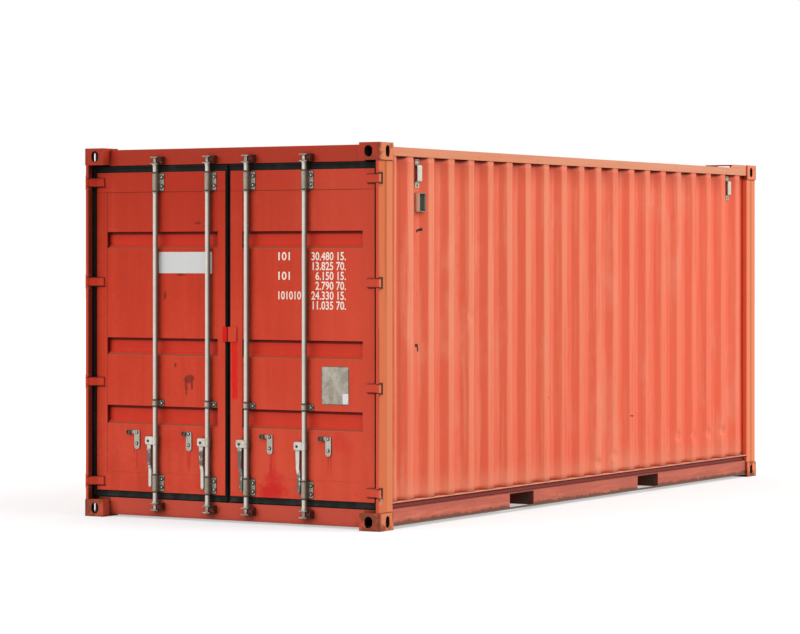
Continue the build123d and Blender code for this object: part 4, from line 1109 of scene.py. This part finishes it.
def flat_plate(name, ys, zs, radius, thick, bulge, finish, body):
    """Rings of one rounded rectangle: back edge, front edge, a bevelled edge and a raised middle.
    A ring's point is the corner's centre plus the radius at the corner's angle."""
    t = np.linspace(0, math.pi / 2, PLATE_SIDES)
    angles = (t[None, :] + np.arange(4)[:, None] * math.pi / 2).ravel()
    corner = np.repeat(np.array(((1, 1), (-1, 1), (-1, -1), (1, -1))), PLATE_SIDES, 0)
    middle = np.array((sum(ys) / 2, sum(zs) / 2))
    half = np.array((ys[1] - ys[0], zs[1] - zs[0])) / 2
    outline = corner * (half - radius) + radius * np.stack((np.cos(angles), np.sin(angles)), -1)
    shares = np.array((1.0, 1.0, 1 - thick / half.min(), 0.55, 0.02))
    heights = np.array((0.0, thick * 0.6, thick, thick + bulge, thick + bulge * 1.2))
    flat = middle + outline * shares[:, None, None]
    deep = np.broadcast_to((panel_face - heights)[:, None, None], flat.shape[:2] + (1,))
    points = np.concatenate((deep, flat), -1)
    count = len(angles)
    faces = [face[::-1] for face in grid_faces(len(shares), count, True)]
    faces += [list(range(count)), list(range(len(shares) * count - 1, (len(shares) - 1) * count - 1, -1))]
    piece = new_piece(name, points, faces, finish)
    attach(piece, body)


def white_plate_paint(name):
    finish, shader, place = blank_finish(name)
    colour = blend(place.noise(8, 3) * 0.12, PLATE_WHITE, PLATE_SILVER)
    feed(shader, Base_Color=colour, Roughness=0.45)
    return finish


def data_plate_metal(name):
    """Dull aluminium, clouded and stained, with a brighter patch at one lower corner."""
    finish, shader, place = blank_finish(name)
    _, y, z = place.parts()
    cloud = place.noise(13, 5, 0.7)
    ragged = cloud * 0.012
    patch = (y + ragged).within(*PATCH_ACROSS) * (z + ragged).within(*PATCH_UP)
    stain = place.noise(9, 4, 0.7).step(0.52, 0.68) * z.step(1, 0.86)
    (left, right), (foot, top) = DATA_PLATE[:2]
    edge = (y - left).least(right - y).least((z - foot).least(top - z))
    colour = blend(cloud.step(0.42, 0.66), PLATE_SILVER, PLATE_BRIGHT).coats(
        (PLATE_PALE, patch * 0.9),
        (PLATE_STAIN, stain * 0.7),
        (PLATE_EDGE, (edge + cloud * 0.006).step(0.01, 0.005) * 0.9))
    feed(
        shader, Base_Color=colour, Metallic=0.2, Roughness=0.45, Normal=cloud.bump(0.35, 0.003),
        Specular_IOR_Level=0.3)
    return finish


white_finish = white_plate_paint("plate_white")
ys, zs, radius, thick = WHITE_PLATE
flat_plate("blank_marking_plate", ys, zs, radius, thick, 0.0, white_finish, "door_leaf_left")
ys, zs, radius, thick = DATA_PLATE
metal = data_plate_metal("plate_metal")
flat_plate("data_plate", ys, zs, radius, thick, PLATE_BULGE, metal, "door_leaf_right")
rivet_ys = (ys[0] + RIVET_INSET, ys[1] - RIVET_INSET)
rivet_zs = (zs[0] + RIVET_INSET, zs[1] - RIVET_INSET)
seats = [(panel_face - thick, y, z) for y in rivet_ys for z in rivet_zs]
turned("data_plate_rivets", RIVET_PROFILE, seats, (0, -1), bolt_finish, "door_leaf_right")

NUMBER_HEIGHT = 0.054
NUMBER_THICK = 0.0004
NUMBER_BOLD = 0.016
DIGIT_SHARE = 0.7
ROW_TOP = 1.859
ROW_PITCH = 0.0665
ROW_SPAN = (-0.634, -0.907)
TAG_LEFT = -0.366
NUMBER_ROWS = ("30.480 15.", "13.825 70.", "6.150 15.", "2.790 70.", "24.330 15.", "11.035 70.")
# Each tag: its row, its text and how far it runs
NUMBER_TAGS = ((0, "101", 0.0935), (2, "101", 0.0935), (4, "101010", 0.183))
STENCIL_WHITE = (0.9, 0.79, 0.68, 1)


def stencil_white(name):
    finish, shader, place = blank_finish(name)
    worn = place.noise(60, 5, 0.7).step(0.6, 0.7)
    colour = blend(worn * 0.55, STENCIL_WHITE, RED_MIDDLE)
    feed(shader, Base_Color=colour, Roughness=0.55)
    return finish


def text_mesh(text):
    """Plain digits made a mesh: a flat array of points, x along the line, y up, and its faces."""
    curve = bpy.data.curves.new(text, "FONT")
    curve.body = text
    curve.size = 1.0
    curve.offset = NUMBER_BOLD
    curve.extrude = 0.5
    curve.resolution_u = 3
    maker = bpy.data.objects.new(text, curve)
    scene.collection.objects.link(maker)
    bpy.context.view_layer.update()
    mesh = bpy.data.meshes.new_from_object(maker.evaluated_get(bpy.context.evaluated_depsgraph_get()))
    flat = np.zeros(len(mesh.vertices) * 3)
    mesh.vertices.foreach_get("co", flat)
    bpy.data.objects.remove(maker)
    return flat.reshape(-1, 3), [list(polygon.vertices) for polygon in mesh.polygons]


def sprayed_numbers(name, finish):
    """Rows end at one line at the hinge side and share the first row's scale. A tag starts at
    its own line and is scaled to its run. The text's x runs towards the hinge side."""
    drawn = [(row, text, None) for row, text in enumerate(NUMBER_ROWS)] + list(NUMBER_TAGS)
    first, _ = text_mesh(NUMBER_ROWS[0])
    scale = (ROW_SPAN[0] - ROW_SPAN[1]) / np.ptp(first[:, 0])
    points, faces, used = [], [], 0
    for row, text, run in drawn:
        flat, polygons = text_mesh(text)
        if run:
            across = TAG_LEFT - (flat[:, 0] - flat[:, 0].min()) * run / np.ptp(flat[:, 0])
        else:
            across = ROW_SPAN[1] - (flat[:, 0] - flat[:, 0].max()) * scale
        up = ROW_TOP - row * ROW_PITCH - NUMBER_HEIGHT + flat[:, 1] * NUMBER_HEIGHT / DIGIT_SHARE
        deep = panel_face - NUMBER_THICK * (flat[:, 2] + 0.5)
        points.append(np.stack((deep, across, up), -1))
        faces += [[used + v for v in polygon] for polygon in polygons]
        used += len(flat)
    piece = new_piece(name, np.concatenate(points), faces, finish)
    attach(piece, "door_leaf_right")


sprayed_numbers("stencilled_numbers", stencil_white("stencil_white"))

# Side vents and side box
# Pressed vent hoods riveted in the valleys near both ends, and under the first one an open
# galvanised box. Both are pale grey-green.
VENT_GREY = (0.62, 0.6, 0.5, 1)
VENT_GREEN = (0.48, 0.52, 0.4, 1)
HOLE_SHADE = (0.014, 0.012, 0.01, 1)
BOX_BEIGE = (0.52, 0.46, 0.34, 1)
BOX_GREEN = (0.29, 0.305, 0.235, 1)
BOX_PALE = (0.78, 0.68, 0.5, 1)
SLOT_OFF = 0.071
SLOT_HALF = (0.013, 0.068)
EAR_RECESS = 0.03
VENT_HALF = 0.031
# Each hole in a vent's ears: off its middle line, its height, its radius
VENT_HOLES = ((0.015, 2.481, 0.008), (0.015, 2.459, 0.008), (0.0, 2.312, 0.011))
vent_low, vent_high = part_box("side_vents_right")
box_low, box_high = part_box("side_box")
box_rim = half_width + box_low.y


def vent_marks(place, colour):
    """Greener ears above and below the hood, with screw holes painted in as black shade."""
    x, y, z = place.parts()
    ear = (half_width - y.size()).step(EAR_RECESS, EAR_RECESS + 0.01)
    colour = colour.toward(VENT_GREEN, ear * 0.7)
    off = x.nearest((vent_low.x + VENT_HALF, vent_high.x - VENT_HALF))
    for across, up, radius in VENT_HOLES:
        wide, tall = off - across, z - up
        hole = (wide * wide + tall * tall).step(radius * radius, radius * radius * 0.5)
        # Painted shade: a black disc for each screw hole
        colour = colour.toward(HOLE_SHADE, hole * ear)
    return colour


def box_marks(place, colour):
    """Dark green-grey inside, where every wall is further in than the rim, and a slot painted
    black as shadow.
    """
    x, y, z = place.parts()
    inner = (x - box_low.x).least(box_high.x - x).least((z - box_low.z).least(box_high.z - z))
    inside = inner.step(0.0015, 0.0035) * (half_width - y.size() - box_rim).step(0.001, 0.004)
    off = (x - box_low.x - SLOT_OFF).size()
    tall = (z - (box_low.z + box_high.z) / 2).size()
    slot = off.step(SLOT_HALF[0] + 0.002, SLOT_HALF[0]) * tall.step(SLOT_HALF[1] + 0.003, SLOT_HALF[1])
    return colour.coats(
        (BOX_GREEN, inside * 0.85),
        (BOX_PALE, face_turn(place)[0].step(-0.5, -0.9) * (x - box_low.x).step(0.003, 0.001)),
        # Painted shadow: a black slot
        (HOLE_SHADE, slot * inside * 0.9))


vent_zinc = galvanised("vent_grey_zinc", 0.03, VENT_GREY, vent_marks, 0.3, 0.5, 0.0)
dress(vent_zinc, "side_vents_left", "side_vents_right")
dress(galvanised("box_beige_zinc", 0.02, BOX_BEIGE, box_marks, 0.3, 0.5, 0.0), "side_box")
